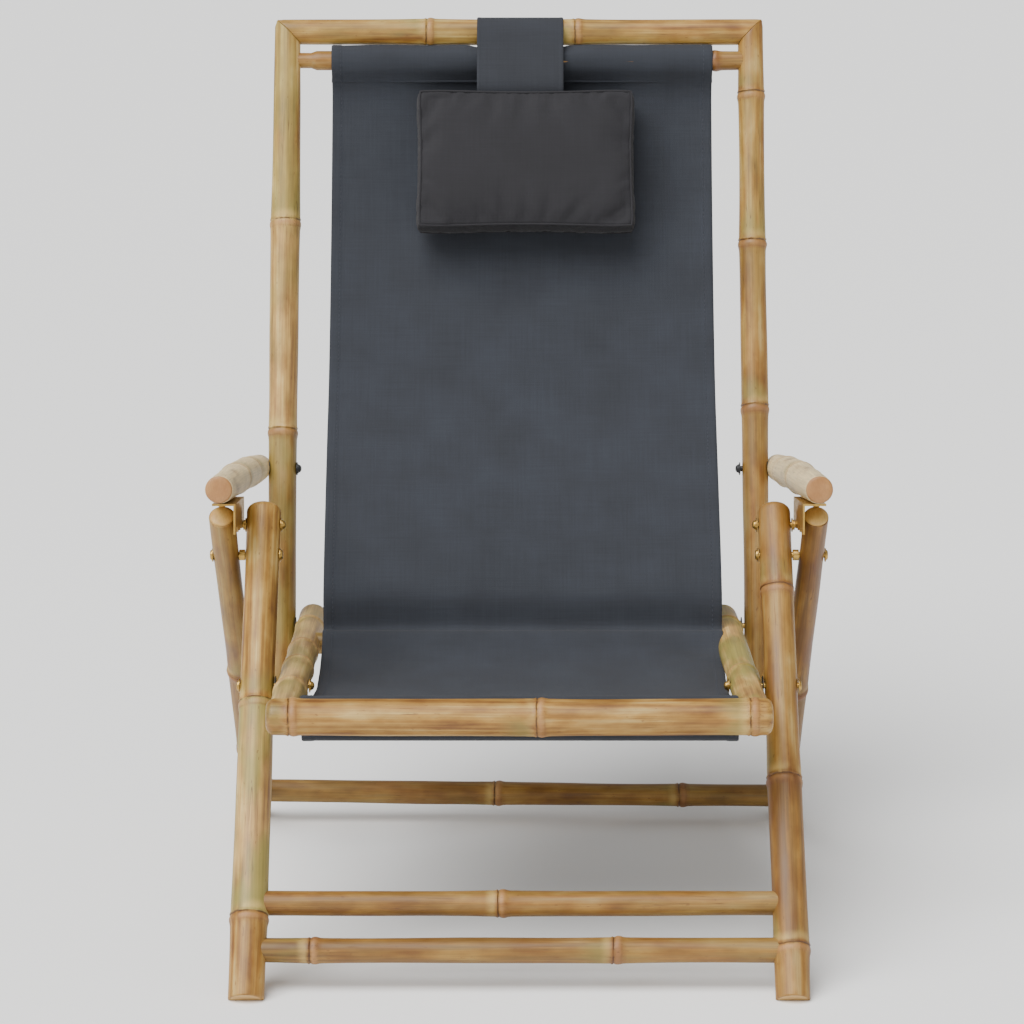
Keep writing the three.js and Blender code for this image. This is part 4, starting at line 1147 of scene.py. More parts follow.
def washer(name, body):
    low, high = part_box(name)
    edge = (high[2] - low[2]) / 2 / MM
    material = ZINC
    if name.startswith("leg_spacer"):
        edge, material = SPACER_MM, BRASS
    width = (high[0] - low[0]) / MM
    outline = [(0, 0.1), (edge - 0.3, 0), (edge, 0.25)]
    outline += [(edge, width - 0.25), (edge - 0.3, width), (0, width - 0.1)]
    start = at_x(centre(name), low[0])
    return turned(name, outline, start, ACROSS, body, material, [name], 40)


BOLT_BODIES = {
    "lock_bolt": "front_legs", "seat_pivot_bolt": "front_legs", "leg_pivot_bolt": "front_legs",
    "back_pivot_bolt": "back_frame", "armrest_bolt": "back_frame",
}
WASHER_BODIES = {
    "seat_washer": "front_legs", "leg_spacer": "front_legs",
    "back_washer": "back_frame", "armrest_washer": "back_frame",
}
for side in SIDES:
    for kind, body in BOLT_BODIES.items():
        black = kind == "armrest_bolt"
        bolt(f"{kind}_{side}", body, BLACK_CAP if black else BRASS)
    for kind, body in WASHER_BODIES.items():
        washer(f"{kind}_{side}", body)
print("bolts:", 2 * len(BOLT_BODIES), "washers:", 2 * len(WASHER_BODIES))

# %% [markdown]
# The notched plate is bent sheet steel, and its CAD solid already has the right shape. It keeps its
# mesh and gets the plated finish and a small bevel, because a stamped edge is never quite sharp. Its
# screws have pan heads.

# %% Plates and screws
for side in SIDES:
    for name in (f"ratchet_plate_{side}", f"plate_screw_rear_{side}", f"plate_screw_front_{side}"):
        node = frame["nodes"][name]
        node.data.materials.clear()
        node.data.materials.append(BRASS)
        edges = node.modifiers.new("broken_edges", "BEVEL")
        edges.width = 0.3 * MM
        edges.segments = 2
        edges.limit_method = "ANGLE"
        edges.harden_normals = False
print("plates keep their CAD shape")

# %% [markdown]
# ## The sling
# One length of canvas makes seat and back. It goes up in front of the top rod, over it, and is sewn
# to itself behind it. Below, it hangs a little slack between the uprights, turns over the crossbar
# at the hips, crosses the seat and ends in a pocket round the front rod. A cloth simulation could
# hang it, but the chair holds it nearly taut and its line in the side view is known from the CAD,
# so it is drawn along that line: first the run in side view, then the width, the folds and the
# hems. In BACK_SHARES and SEAT_SHARES a pair says how far along its stretch a point lies, and how
# much of the sag it has. In HIP_SHARES it says how far back and how far up the point has come.

# %% The sling's run in side view
SLING_MM = 1.1
BACK_SAG_MM = 16.6
SEAT_SAG_MM = 15
POCKET_HANG_MM = 30
BACK_SHARES = [(0.9, -0.68), (0.8, -1), (0.66, -1), (0.53, -0.72), (0.38, 0.19)]
HIP_SHARES = [(0.52, 0.565), (0.235, 0.305), (0.095, 0.152)]
BAR_SHARES = [-0.03, 0, 0.03]
SEAT_SHARES = [(0.1, 0.05), (0.24, -0.6), (0.5, -0.95), (0.72, -0.62), (0.86, -0.02)]
CLEAR_OF_ROD_MM = 1.0
CLEAR_OF_BAR_MM = 2.0
CREASE_RISE_MM = 1.2
SEAM_BELOW_ROD_MM = 21
# Degrees past the way the back points up, and how loosely the cloth lies round the rod, in mm.
SLEEVE_TURNS = [(-115, 0), (-80, 0), (-40, 2.4), (0, 4.4), (25, 4.4), (60, 1.8), (92, 0)]
POCKET_TURNS = [70, 110, 150, 185]
POCKET_FOOT_MM = [(-3.2, 6), (-1.2, 0), (1.2, 0), (3.2, 6)]
POCKET_BACK_TURNS = [-5, 30]
CLOTH_STEP = 4 * MM
back_length = (top_rail - back_pivot).dot(back_way)
rod_up = (top_rod - back_pivot).dot(back_way)
seat_span = (seat_bar - front_rod).dot(seat_way)


def on_back(up, forward):
    """A point of the back's side view: up from its pivot in metres, forward in mm."""
    return back_pivot + back_way * up + back_front * forward * MM


def round_rod(middle, radius, degrees):
    """Points round a rod, by their angle in the side view from the back towards up."""
    turns = [math.radians(d) for d in degrees]
    return [middle + Vector((0, math.cos(t), math.sin(t))) * radius * MM for t in turns]


def smooth_run(points, step):
    """A centripetal Catmull-Rom curve through the points, in even steps."""
    ends = [2 * points[0] - points[1], *points, 2 * points[-1] - points[-2]]
    fine = []
    for a, b, c, d in zip(ends, ends[1:], ends[2:], ends[3:]):
        t1 = (b - a).length ** 0.5
        t2 = t1 + (c - b).length ** 0.5
        t3 = t2 + (d - c).length ** 0.5
        for t in np.linspace(t1, t2, 24, endpoint=False):
            ab = a * (t1 - t) / t1 + b * t / t1
            bc = b * (t2 - t) / (t2 - t1) + c * (t - t1) / (t2 - t1)
            cd = c * (t3 - t) / (t3 - t2) + d * (t - t2) / (t3 - t2)
            abc = ab * (t2 - t) / t2 + bc * t / t2
            bcd = bc * (t3 - t) / (t3 - t1) + cd * (t - t1) / (t3 - t1)
            fine.append(abc * (t2 - t) / (t2 - t1) + bcd * (t - t1) / (t2 - t1))
    fine.append(points[-1])
    line = np.array([(p.y, p.z) for p in fine])
    far = np.concatenate([[0], np.cumsum(np.hypot(*np.diff(line, axis=0).T))])
    places = np.linspace(0, far[-1], int(far[-1] / step) + 1)
    return places, np.stack([np.interp(places, far, line[:, k]) for k in (0, 1)], axis=-1)


def on_seat(share, rise):
    """A point of the seat's side view: back to front from the crossbar, and up in mm."""
    return seat_bar - seat_way * share * seat_span + seat_up * rise * MM


back_run = [on_back(up * back_length, forward * BACK_SAG_MM) for up, forward in BACK_SHARES]
on_bar = SEAT_BAR_MM / 2 + FIT_MM + CLEAR_OF_BAR_MM
crease = seat_bar + seat_up * (on_bar + CREASE_RISE_MM) * MM
to_hip = back_run[-1] - crease
hip_run = [crease + Vector((0, back * to_hip.y, rise * to_hip.z)) for back, rise in HIP_SHARES]
bar_run = [on_seat(share, on_bar) for share in BAR_SHARES]
seat_run = [on_seat(share, rise * SEAT_SAG_MM) for share, rise in SEAT_SHARES]

top_wrap = TOP_ROD_MM / 2 + CLEAR_OF_ROD_MM + SLING_MM / 2
lean = math.degrees(math.atan2(back_way.z, back_way.y))
seam_up = rod_up - SEAM_BELOW_ROD_MM * MM
sleeve_run = [on_back(seam_up - 2 * MM, -5.8), on_back(rod_up - 15 * MM, -8)]
for turn, loose in SLEEVE_TURNS:
    sleeve_run += round_rod(top_rod, top_wrap + loose, [lean + turn])
sleeve_run += [on_back(rod_up - 12 * MM, 7.2), on_back(seam_up, -3.2)]

front_wrap = FRONT_ROD_MM / 2 + CLEAR_OF_ROD_MM + SLING_MM / 2
pocket_foot = front_rod - UP * POCKET_HANG_MM * MM
pocket_run = round_rod(front_rod, front_wrap, POCKET_TURNS)
pocket_run += [pocket_foot + Vector((0, back, up)) * MM for back, up in POCKET_FOOT_MM]
pocket_run += round_rod(front_rod, front_wrap, POCKET_BACK_TURNS)
whole_run = sleeve_run + back_run + hip_run + bar_run + seat_run + pocket_run
run_at, run = smooth_run(whole_run, CLOTH_STEP)
print("the sling's run is", round(run_at[-1], 3), "m long")

# %% [markdown]
# The cloth is nearly as wide as the space between the rails. Across the seat, the pull between the
# crossbar and the front rod draws its free edges in by a few millimetres, on the right more than on
# the left. A table says how far at each place along the run. The folds of hanging cloth are slow
# waves with a height, a width and a length, they fade where a rod holds the cloth, and small
# puckers stand beside the seams.

# %% The sling's width
HALF_WIDTH_MM = 210
SLING_ASIDE_MM = 4
EDGE_COLUMNS_MM = [0, 0.5, 1.4, 4, 7, 9.2, 10, 10.8, 12, 13, 15, 19]
MIDDLE_COLUMNS = 37
MIDDLE_FROM_EDGE_MM = 27


def run_share(point):
    """How far along the run, in metres, the place nearest to a point lies."""
    return run_at[np.argmin(np.hypot(run[:, 0] - point.y, run[:, 1] - point.z))]


at_sleeve = run_share(back_run[0])
at_top = run_share(sleeve_run[5])
at_crease = run_share(bar_run[1])
at_front = run_share(pocket_run[1])
at_foot = run_share(pocket_foot)
# Place along the run, and how far the left and the right edge are drawn in there, in mm.
DRAW_IN = [
    (0, 0, 0),
    (at_sleeve, 0.5, 0.5),
    (at_crease - 0.25, -0.5, 0),
    (at_crease, 1, 0.5),
    (run_share(seat_run[2]), 3.5, 6),
    (run_share(seat_run[3]), 1, 6),
    (run_share(seat_run[4]), -2, 6),
    (at_front, -2.5, 5.5),
    (run_at[-1], -1, 4),
]


def half_width(at, sign):
    marks, left, right = zip(*DRAW_IN)
    return HALF_WIDTH_MM - np.interp(at, marks, left if sign < 0 else right)


def sling_columns():
    inner = HALF_WIDTH_MM - MIDDLE_FROM_EDGE_MM
    middle = list(np.linspace(-inner, inner, MIDDLE_COLUMNS))
    left = [-(HALF_WIDTH_MM - e) for e in EDGE_COLUMNS_MM]
    right = [HALF_WIDTH_MM - e for e in reversed(EDGE_COLUMNS_MM)]
    return np.array(left + middle + right) / HALF_WIDTH_MM


columns = sling_columns()
print("columns:", len(columns), "rows:", len(run_at))

# %% Folds and puckers
STRAP_MM = 95
STRAP_ASIDE_MM = -6
SLOW_FOLDS_MM = (2.2, 110, 160)
SMALL_FOLDS_MM = (0.7, 35, 70)
PUCKERS_MM = (1.1, 16, 200)
DRAG_MM = (1.6, 20, 12)
HOLLOW_MM = 2.5
FOLDS_TO_MM = 209
PRESSED_MM = 3.0
FOLD_WAVES = 5
strap_x = centre("pillow_strap").x / MM + STRAP_ASIDE_MM


def smooth_noise(x, y, seed):
    """A few sine waves with mixed directions, which is enough for the slow rise and fall of cloth."""
    rng = np.random.default_rng(seed)
    total = 0.0
    for _ in range(FOLD_WAVES):
        turn = rng.uniform(0, math.pi)
        wave = rng.uniform(0.7, 1.6)
        phase = rng.uniform(0, 2 * math.pi)
        total = total + np.sin((x * math.cos(turn) + y * math.sin(turn)) * wave + phase)
    return total / FOLD_WAVES


def folds(x, at, size, seed):
    """Folds of this height, width and length, in mm."""
    height, wide, long = size
    return height * smooth_noise(x / (wide * MM), at / (long * MM), seed)


def near(at, place, spread_mm):
    return np.exp(-(((at - place) / (spread_mm * MM)) ** 2))


def freed(at, place, held_mm, release_mm):
    """0 where a place holds the cloth, rising to 1 where it is free again."""
    return np.clip((np.abs(at - place) - held_mm * MM) / (release_mm * MM), 0, 1)


def free_cloth(at):
    """1 where the cloth hangs free, 0 where a rod or the crossbar holds it."""
    free = freed(at, at_sleeve - 0.09, 12, 70) * freed(at, at_front, 12, 70)
    free = free * freed(at, at_crease, 10, 50)
    return np.where((at < at_sleeve - 0.06) | (at > at_front), 0.0, free)


def wrinkles(x, at):
    """How far the cloth stands out of its run, in mm."""
    edge = np.abs(x) / (FOLDS_TO_MM * MM)
    hanging = folds(x, at, SLOW_FOLDS_MM, 3) + folds(x, at, SMALL_FOLDS_MM, 8)
    puckers = near(at, at_sleeve - 0.03, 45) * folds(x, at, PUCKERS_MM, 21)
    height, wide, long = DRAG_MM
    lines = np.sin(at / (long * MM) + np.abs(x) / (wide * MM))
    drag = height * near(at, at_crease, 90) * edge**3 * lines
    hollow = -HOLLOW_MM * (1 - edge**2)
    under_strap = np.clip((STRAP_MM / 2 + 8 - np.abs(x / MM - strap_x)) / 8, 0, 1)
    pressed = PRESSED_MM * under_strap * near(at, at_top, 13)
    return (hanging + hollow + drag) * free_cloth(at) + puckers - pressed


print("the folds stand", round(SLOW_FOLDS_MM[0] + SMALL_FOLDS_MM[0], 1), "mm at most")

# %% [markdown]
# The sheet is built with both of its faces and its edges, rather than with a thickness modifier, so
# that the doubled hems can be thicker than the middle. Both long edges are turned in and sewn:
# there the cloth is double, with a groove where the thread pulls it down. The same function that
# places the cloth also places the stitches, so the thread always lies on it.

# %% The sling's two faces
HEM_MM = 12
HEM_EXTRA_MM = 0.9
HEM_STEP_MM = 1.2
SEAM_FROM_EDGE_MM = 10
RIM_MM = 1.4


def surface(share, at):
    """Places of the sling's middle layer and its normals, for column shares and run places."""
    sign = np.where(share < 0, -1, 1)
    half = np.where(sign < 0, half_width(at, -1), half_width(at, 1)) * MM
    x = share * half + SLING_ASIDE_MM * MM
    y = np.interp(at, run_at, run[:, 0])
    z = np.interp(at, run_at, run[:, 1])
    ahead = np.minimum(at + CLOTH_STEP, run_at[-1])
    behind = np.maximum(at - CLOTH_STEP, 0)
    dy = np.interp(ahead, run_at, run[:, 0]) - np.interp(behind, run_at, run[:, 0])
    dz = np.interp(ahead, run_at, run[:, 1]) - np.interp(behind, run_at, run[:, 1])
    size = np.hypot(dy, dz)
    normal = np.stack([np.zeros_like(x), dz / size, -dy / size], axis=-1)
    place = np.stack([x, y, z], axis=-1)
    lift = wrinkles(x, at) * MM
    return place + normal * lift[..., None], normal


def cloth_thickness(share, at):
    edge = HALF_WIDTH_MM * (1 - np.abs(share))
    hem = np.clip((HEM_MM - edge) / HEM_STEP_MM, 0, 1)
    groove = 0.5 * np.exp(-(((edge - SEAM_FROM_EDGE_MM) / 0.5) ** 2))
    rim = np.clip(edge / RIM_MM, 0.35, 1)
    return (SLING_MM + HEM_EXTRA_MM * hem - groove) * rim


def sheet_piece(name, grid, normals, thickness, flat, material, body, stands_for):
    rows, cols = grid.shape[:2]
    half = normals * (thickness / 2 * MM)[..., None]
    points = np.concatenate([(grid + half).reshape(-1, 3), (grid - half).reshape(-1, 3)])
    back = rows * cols
    faces = []
    for i in range(rows - 1):
        for j in range(cols - 1):
            a = i * cols + j
            d = a + cols
            faces.append((a, a + 1, d + 1, d))
            faces.append((back + d, back + d + 1, back + a + 1, back + a))
    for i in range(rows - 1):
        for j in (0, cols - 1):
            a, b = i * cols + j, (i + 1) * cols + j
            faces.append((a, b, back + b, back + a))
    for j in range(cols - 1):
        for i in (0, rows - 1):
            a, b = i * cols + j, i * cols + j + 1
            faces.append((b, a, back + a, back + b))
    piece = new_piece(name, points, faces, material, body, stands_for, sharp=False)
    store(piece, "cloth", "FLOAT_VECTOR", np.concatenate([flat.reshape(-1, 3)] * 2))
    return piece


share_grid, at_grid = np.meshgrid(columns, run_at)
sling_grid, sling_normals = surface(share_grid, at_grid)
sling_flat = np.stack([share_grid * HALF_WIDTH_MM, at_grid / MM, np.zeros_like(at_grid)], axis=-1)
sling = sheet_piece(
    "canvas_sling", sling_grid, sling_normals, cloth_thickness(share_grid, at_grid), sling_flat,
    CANVAS, None, ["sling_back", "sling_seat"],
)
print("sling:", len(sling.data.vertices), "points")

# %% [markdown]
# ## Stitches
# A seam is read from its thread. Each stitch is a short rounded bar that dips into the cloth at both
# ends. All stitches of one seam are one mesh.

# %% Stitching
STITCH_MM = 3.4
STITCH_PITCH_MM = 5.0
STITCH_RADIUS_MM = 0.38
STITCH_SIDES = 6
STITCH_RINGS = [(-1, -0.25), (-0.5, 0.22), (0.5, 0.22), (1, -0.25)]


def along_line(at, steps, values):
    """The value, point or normal, at a distance along a line of places."""
    return np.array([np.interp(at, steps, values[:, axis]) for axis in range(3)])


def stitch_line(places, normals):
    """Points and faces of one row of stitches that follows a line of places."""
    steps = np.concatenate([[0], np.cumsum(np.linalg.norm(np.diff(places, axis=0), axis=1))])
    points, faces = [], []
    count = int(steps[-1] / (STITCH_PITCH_MM * MM))
    for k in range(count):
        middle = (k + 0.5) * STITCH_PITCH_MM * MM
        first = len(points)
        for share, lift in STITCH_RINGS:
            end = middle + share * STITCH_MM / 2 * MM
            at = along_line(end, steps, places)
            up = along_line(end, steps, normals)
            up = up / np.linalg.norm(up)
            ahead = along_line(end + 0.5 * MM, steps, places) - along_line(end - 0.5 * MM, steps, places)
            wide = np.cross(ahead, up)
            wide = wide / max(np.linalg.norm(wide), 1e-9)
            for turn in range(STITCH_SIDES):
                angle = turn * 2 * math.pi / STITCH_SIDES
                ring = wide * math.cos(angle) + up * math.sin(angle)
                points.append(at + up * lift * MM + ring * STITCH_RADIUS_MM * MM)
        for row in range(len(STITCH_RINGS) - 1):
            a = first + row * STITCH_SIDES
            b = a + STITCH_SIDES
            for i in range(STITCH_SIDES):
                j = (i + 1) % STITCH_SIDES
                faces.append((a + i, a + j, b + j, b + i))
        last = len(points) - STITCH_SIDES
        faces.append(tuple(first + i for i in reversed(range(STITCH_SIDES))))
        faces.append(tuple(last + i for i in range(STITCH_SIDES)))
    return points, faces


def stitches(name, lines, body):
    points, faces = [], []
    for places, normals in lines:
        more_points, more_faces = stitch_line(places, normals)
        faces += [tuple(i + len(points) for i in face) for face in more_faces]
        points += more_points
    piece = new_piece(name, points, faces, THREAD, body, sharp=False)
    store(piece, "cloth", "FLOAT_VECTOR", np.array([tuple(p) for p in points]) / MM)
    return piece


def on_sling(share, at, side=1):
    place, normal = surface(share, at)
    half = cloth_thickness(share, at)[..., None] / 2 * MM
    return place + side * normal * half, side * normal


def sling_seams():
    lines = []
    edge_share = 1 - SEAM_FROM_EDGE_MM / HALF_WIDTH_MM
    long_way = np.arange(0.012, run_at[-1] - 0.01, 2.5 * MM)
    for sign in (-1, 1):
        for side in (1, -1):
            lines.append(on_sling(np.full_like(long_way, sign * edge_share), long_way, side))
    crossing = np.linspace(-0.985, 0.985, 160)
    for at in (0.004, 0.010, at_foot - 0.012, at_foot + 0.012):
        lines.append(on_sling(crossing, np.full_like(crossing, at)))
    return lines


sling_thread = stitches("canvas_stitches", sling_seams(), None)
print("sling thread:", len(sling_thread.data.polygons), "faces")

# %% [markdown]
# Back and seat turn about one hinge when the chair folds. The canvas can't ride on one of them
# alone, so neither it nor its stitches are tied to a body: they keep the places they were built in.

# %% The sling stays on no body
for piece in (sling, sling_thread):
    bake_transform(piece)
print("sling cut", round(2 * HALF_WIDTH_MM), "mm wide")

# %% [markdown]
# ## The head pillow
# The pillow is a boxed cushion: a front and a back panel, a band between them, and piping in both
# seams. It starts as a closed grid that is a little too flat. A short cloth simulation then blows it
# up like stuffing does, with its seams held by the band, which gives crowned panels with small
# puckers along the seams. How far a point may move is capped, so that the pillow keeps its size.

# %% Pillow form
PILLOW_MM = (236, 155)
PILLOW_RAISE_MM = 4
PILLOW_BAND_MM = 34
PILLOW_CROWN_MM = 3
PILLOW_DRAW_MM = 4
PILLOW_CORNER_MM = 3.0
BAND_BULGE = 0.012
BAND_ROWS = 7
PILLOW_COLUMNS = 60
PILLOW_ROWS = 40
pillow_middle = centre("head_pillow") + back_way * PILLOW_RAISE_MM * MM


def pillow_point(across, up, depth):
    """Across and up run from -1 to 1, and depth from -1 at the back seam to 1 at the front one."""
    wide = PILLOW_MM[0] / 2 - PILLOW_DRAW_MM * (1 - up**2) * abs(across)
    high = PILLOW_MM[1] / 2 - PILLOW_DRAW_MM * (1 - across**2) * abs(up)
    corner = (abs(across) * abs(up)) ** 6
    wide -= PILLOW_CORNER_MM * corner
    high -= PILLOW_CORNER_MM * corner
    return np.array([across * wide, up * high, depth * PILLOW_BAND_MM / 2])


def pillow_rim():
    """The (across, up) pairs round the pillow's seam, one turn."""
    across = np.linspace(-1, 1, PILLOW_COLUMNS + 1)
    up = np.linspace(-1, 1, PILLOW_ROWS + 1)
    rim = [(a, -1) for a in across[:-1]] + [(1, u) for u in up[:-1]]
    rim += [(a, 1) for a in across[:0:-1]] + [(-1, u) for u in up[:0:-1]]
    return rim


def pillow_world(local):
    local = np.asarray(local)
    axes = np.array([ACROSS, back_way, back_front])
    return np.array(pillow_middle) + (local @ axes) * MM


def pillow_mesh():
    across = np.linspace(-1, 1, PILLOW_COLUMNS + 1)
    up = np.linspace(-1, 1, PILLOW_ROWS + 1)
    points, faces, index = [], [], {}
    for face in (1, -1):
        for j, u in enumerate(up):
            for i, a in enumerate(across):
                crown = PILLOW_CROWN_MM * (1 - a**4) * (1 - u**4)
                index[(face, i, j)] = len(points)
                points.append(pillow_point(a, u, face) + np.array([0, 0, face * crown]))
        for j in range(PILLOW_ROWS):
            for i in range(PILLOW_COLUMNS):
                corners = [(i, j), (i + 1, j), (i + 1, j + 1), (i, j + 1)]
                quad = [index[(face, *corner)] for corner in corners]
                faces.append(tuple(quad if face > 0 else quad[::-1]))
    rim = pillow_rim()
    loops = []
    for row in range(BAND_ROWS + 1):
        depth = 1 - 2 * row / BAND_ROWS
        if row in (0, BAND_ROWS):
            face = 1 if row == 0 else -1
            place = {}
            for j, u in enumerate(up):
                for i, a in enumerate(across):
                    place[(round(a, 6), round(u, 6))] = index[(face, i, j)]
            loops.append([place[(round(a, 6), round(u, 6))] for a, u in rim])
        else:
            bulge = 1 + BAND_BULGE * (1 - depth**2)
            loops.append(list(range(len(points), len(points) + len(rim))))
            points += [pillow_point(a, u, depth) * np.array([bulge, bulge, 1]) for a, u in rim]
    for upper, lower in zip(loops, loops[1:]):
        for k in range(len(rim)):
            n = (k + 1) % len(rim)
            faces.append((upper[k], lower[k], lower[n], upper[n]))
    return np.array(points), faces, loops


pillow_points, pillow_faces, pillow_loops = pillow_mesh()
pillow = new_piece(
    "pillow_cushion", pillow_world(pillow_points), pillow_faces, PILLOW_CLOTH, "back_frame",
    ["head_pillow"], sharp=False,
)
print("pillow:", len(pillow_points), "points before stuffing")

# %% [markdown]
# The simulation runs for a few frames with pressure and no gravity. The seam loops are pinned, as
# the cut of the panels holds them, and the panels have a little spare cloth, which is what puckers.

# %% Stuffing the pillow
STUFFING_FRAMES = 16
MOST_MOVE_MM = 6.0


def stuff(piece, pinned):
    group = piece.vertex_groups.new(name="seams")
    group.add(pinned, 1.0, "REPLACE")
    cloth = piece.modifiers.new("stuffing", "CLOTH")
    settings = cloth.settings
    settings.vertex_group_mass = "seams"
    settings.use_pressure = True
    settings.uniform_pressure_force = 3.0
    settings.effector_weights.gravity = 0.0
    settings.shrink_min = -0.035
    settings.quality = 6
    cloth.point_cache.frame_start = 1
    cloth.point_cache.frame_end = STUFFING_FRAMES
    scene = bpy.context.scene
    for step in range(1, STUFFING_FRAMES + 1):
        scene.frame_set(step)
    shaped = piece.evaluated_get(bpy.context.evaluated_depsgraph_get())
    before = np.array([v.co[:] for v in piece.data.vertices])
    after = np.array([v.co[:] for v in shaped.data.vertices])
    move = after - before
    size = np.linalg.norm(move, axis=1)
    cap = MOST_MOVE_MM * MM
    soft = cap * np.tanh(size / cap) / np.maximum(size, 1e-9)
    piece.modifiers.remove(cloth)
    scene.frame_set(1)
    for vertex, place in zip(piece.data.vertices, before + move * soft[:, None]):
        vertex.co = place
    return float(size.max() / MM)


seam_points = sorted(set(pillow_loops[0]) | set(pillow_loops[-1]))
print("stuffing moved the cloth by up to", round(stuff(pillow, seam_points), 1), "mm")
flat_pillow = pillow_points.copy()
flat_pillow[:, 1] += flat_pillow[:, 2]
flat_pillow[:, 2] = 0
store(pillow, "cloth", "FLOAT_VECTOR", flat_pillow)

# %% [markdown]
# Piping is a thin cord in a strip of the same cloth, caught in the seam. It is a tube round each
# seam loop, made after the stuffing so that it follows the finished seam.

# %% Piping
PIPING_MM = 1.25
PIPING_SIDES = 8


def tube_round(name, path, radius, material, body):
    path = np.array(path)
    count = len(path)
    points, faces = [], []
    for k in range(count):
        ahead = path[(k + 1) % count] - path[k - 1]
        ahead /= np.linalg.norm(ahead)
        side = np.cross(ahead, np.array(back_front))
        side /= np.linalg.norm(side)
        up = np.cross(side, ahead)
        for turn in range(PIPING_SIDES):
            angle = turn * 2 * math.pi / PIPING_SIDES
            points.append(path[k] + (side * math.cos(angle) + up * math.sin(angle)) * radius)
    for k in range(count):
        a = k * PIPING_SIDES
        b = (k + 1) % count * PIPING_SIDES
        for i in range(PIPING_SIDES):
            j = (i + 1) % PIPING_SIDES
            faces.append((a + i, a + j, b + j, b + i))
    piece = new_piece(name, points, faces, material, body, sharp=False)
    store(piece, "cloth", "FLOAT_VECTOR", np.array(points) / MM)
    return piece


for name, loop in (("pillow_piping_front", pillow_loops[0]), ("pillow_piping_back", pillow_loops[-1])):
    path = [pillow.data.vertices[i].co[:] for i in loop]
    tube_round(name, path, PIPING_MM * MM, PILLOW_CLOTH, "back_frame")
print("piping in two seams")

# %% [markdown]
# ## The strap
# A wide strap of fine canvas goes up from the pillow, over the top rail and down again behind
# itself, where it is sewn. It is a flat band, so it is drawn along its run like the sling, with its
# turned edges, two rows of stitches across it and one along each edge.

# %% Strap
STRAP_CLOTH_MM = 1.5
STRAP_HEM_MM = 5
STRAP_SEAM_FROM_EDGE_MM = 4
STRAP_TURNS = [90, 50, 10, -30, -70, -110, -150]
STRAP_EDGE_COLUMNS_MM = [41, 42.5, 43.5, 45, 46, 47, 47.5]
pillow_up = (pillow_middle - back_pivot).dot(back_way)
pillow_forward = (pillow_middle - back_pivot).dot(back_front) / MM
strap_wrap = TOP_RAIL_MM / 2 + 0.6 + STRAP_CLOTH_MM / 2
pillow_top = pillow_up + PILLOW_MM[1] / 2 * MM
strap_run = [
    on_back(pillow_top - 3 * MM, pillow_forward + 2),
    on_back(pillow_top + 5 * MM, pillow_forward + 4),
    on_back(back_length - 24 * MM, strap_wrap + 0.2),
]
strap_run += round_rod(top_rail, strap_wrap, [lean + turn for turn in STRAP_TURNS])
strap_run += [
    on_back(back_length - 19 * MM, strap_wrap - 3.4),
    on_back(back_length - 34 * MM, strap_wrap - 2.2),
]
strap_at, strap_line = smooth_run(strap_run, 3 * MM)


def strap_surface(x, at):
    line_y, line_z = strap_line.T
    y = np.interp(at, strap_at, line_y)
    z = np.interp(at, strap_at, line_z)
    step = 2 * MM
    dy = np.interp(at + step, strap_at, line_y) - np.interp(at - step, strap_at, line_y)
    dz = np.interp(at + step, strap_at, line_z) - np.interp(at - step, strap_at, line_z)
    size = np.maximum(np.hypot(dy, dz), 1e-9)
    normal = np.stack([np.zeros_like(x), -dz / size, dy / size], axis=-1)
    return np.stack([(strap_x + x) * MM, y, z], axis=-1), -normal


def strap_thickness(x):
    edge = STRAP_MM / 2 - np.abs(x)
    hem = np.clip((STRAP_HEM_MM - edge) / 1.0, 0, 1)
    groove = 0.4 * np.exp(-(((edge - STRAP_SEAM_FROM_EDGE_MM) / 0.5) ** 2))
    return (STRAP_CLOTH_MM + 0.5 * hem - groove) * np.clip(edge / 1.2, 0.4, 1)


left_columns = [-edge for edge in reversed(STRAP_EDGE_COLUMNS_MM)]
strap_columns = np.array([*left_columns, *np.linspace(-36, 36, 13), *STRAP_EDGE_COLUMNS_MM])
strap_x_grid, strap_at_grid = np.meshgrid(strap_columns, strap_at)
strap_grid, strap_normals = strap_surface(strap_x_grid, strap_at_grid)
strap_flat = np.stack([strap_x_grid, strap_at_grid / MM, np.zeros_like(strap_at_grid)], axis=-1)
strap = sheet_piece(
    "pillow_strap_cloth", strap_grid, strap_normals, strap_thickness(strap_x_grid), strap_flat,
    STRAP_CLOTH, "back_frame", ["pillow_strap"],
)


def on_strap(x, at):
    place, normal = strap_surface(x, at)
    return place + normal * (strap_thickness(x)[..., None] / 2 * MM), normal


strap_seam = STRAP_MM / 2 - STRAP_SEAM_FROM_EDGE_MM
strap_across = np.linspace(-strap_seam, strap_seam, 50)
strap_long = np.linspace(0.008, strap_at[-1] - 0.03, 80)
strap_lines = [on_strap(strap_across, np.full_like(strap_across, at)) for at in (0.012, 0.034)]
for x in (-strap_seam, strap_seam):
    strap_lines.append(on_strap(np.full_like(strap_long, x), strap_long))
strap_thread = stitches("strap_stitches", strap_lines, "back_frame")
print("strap is", round(strap_at[-1] / MM), "mm long")

# %% [markdown]
# ## Floor, light and camera
# The chair stands on a plain white floor that runs on past the edge of the picture, so that it looks
# right from every side. A curved backdrop would give a brighter background from the front, but would
# hide the chair from behind. One wide soft light from above, the front and the left gives the canes
# their pale tops, and weaker ones in front and at both sides keep the shadows open. The camera
# stands where the photograph was taken from: a long lens about three metres in front, a metre up.


# %% Stage
FLOOR_RADIUS = 40
FLOOR_CORNERS = 48
CHAIR_MIDDLE = (0, 0, 0.45)
WORLD_STRENGTH = 0.42


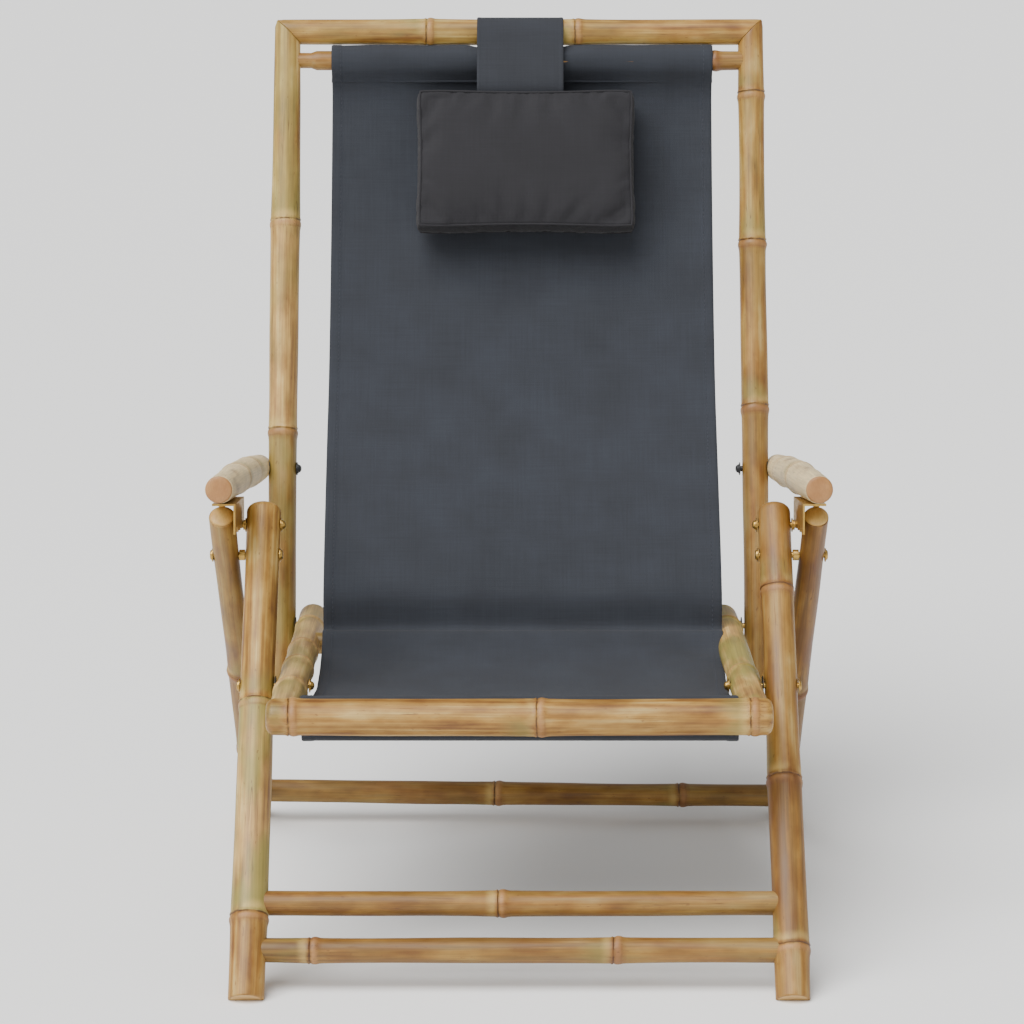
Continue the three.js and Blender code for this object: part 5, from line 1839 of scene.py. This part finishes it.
def white_floor():
    turns = np.linspace(0, 2 * math.pi, FLOOR_CORNERS, endpoint=False)
    rim = [(FLOOR_RADIUS * math.cos(t), FLOOR_RADIUS * math.sin(t), 0) for t in turns]
    mesh = bpy.data.meshes.new("studio_floor")
    mesh.from_pydata(rim, [], [tuple(range(FLOOR_CORNERS))])
    floor = bpy.data.objects.new("studio_floor", mesh)
    bpy.context.collection.objects.link(floor)
    material, tree = start_material("paper_matt_white")
    finish_material(tree, linear("#fbfbfa"), {"Roughness": 0.95, "Specular IOR Level": 0.1})
    mesh.materials.append(material)
    return floor


def aimed(name, lamp, place, aim):
    holder = bpy.data.objects.new(name, lamp)
    holder.location = place
    holder.rotation_euler = (Vector(aim) - Vector(place)).to_track_quat("-Z", "Y").to_euler()
    bpy.context.collection.objects.link(holder)
    return holder


def soft_light(name, place, aim, size, power):
    lamp = bpy.data.lights.new(name, "AREA")
    lamp.shape = "RECTANGLE"
    lamp.size, lamp.size_y = size
    lamp.energy = power
    return aimed(name, lamp, place, aim)


def wide_light(name, place, aim, degrees, strength):
    lamp = bpy.data.lights.new(name, "SUN")
    lamp.angle = math.radians(degrees)
    lamp.energy = strength
    return aimed(name, lamp, place, aim)


white_floor()
wide_light("light_above", (-1.1, -1.3, 3.0), CHAIR_MIDDLE, degrees=50, strength=4.4)
soft_light("light_left", (-2.8, -1.8, 1.6), CHAIR_MIDDLE, size=(1.6, 2.2), power=26)
soft_light("light_right", (2.8, -1.6, 1.5), CHAIR_MIDDLE, size=(1.6, 2.2), power=8)
soft_light("light_front", (0.3, -3.9, 1.0), CHAIR_MIDDLE, size=(2.4, 1.0), power=10)
world = bpy.data.worlds.new("studio")
bpy.context.scene.world = world
world.use_nodes = True
background = world.node_tree.nodes["Background"]
background.inputs["Color"].default_value = (1, 1, 1, 1)
background.inputs["Strength"].default_value = WORLD_STRENGTH
print("lit with one wide light and three soft ones")

# %% Camera at the photograph's view
LENS_PX = 3300
PHOTO_PX = 1024
SENSOR_MM = 36
PITCH_DEGREES = 11.4
CAMERA_PLACE = (-0.007, -3.317, 1.064)
camera = bpy.data.cameras.new("photo_view")
camera.sensor_width = SENSOR_MM
camera.lens = LENS_PX / PHOTO_PX * SENSOR_MM
holder = bpy.data.objects.new("photo_view", camera)
holder.location = CAMERA_PLACE
holder.rotation_euler = (math.radians(90 - PITCH_DEGREES), 0, 0)
bpy.context.collection.objects.link(holder)
bpy.context.scene.camera = holder
print("lens", round(camera.lens, 1), "mm")
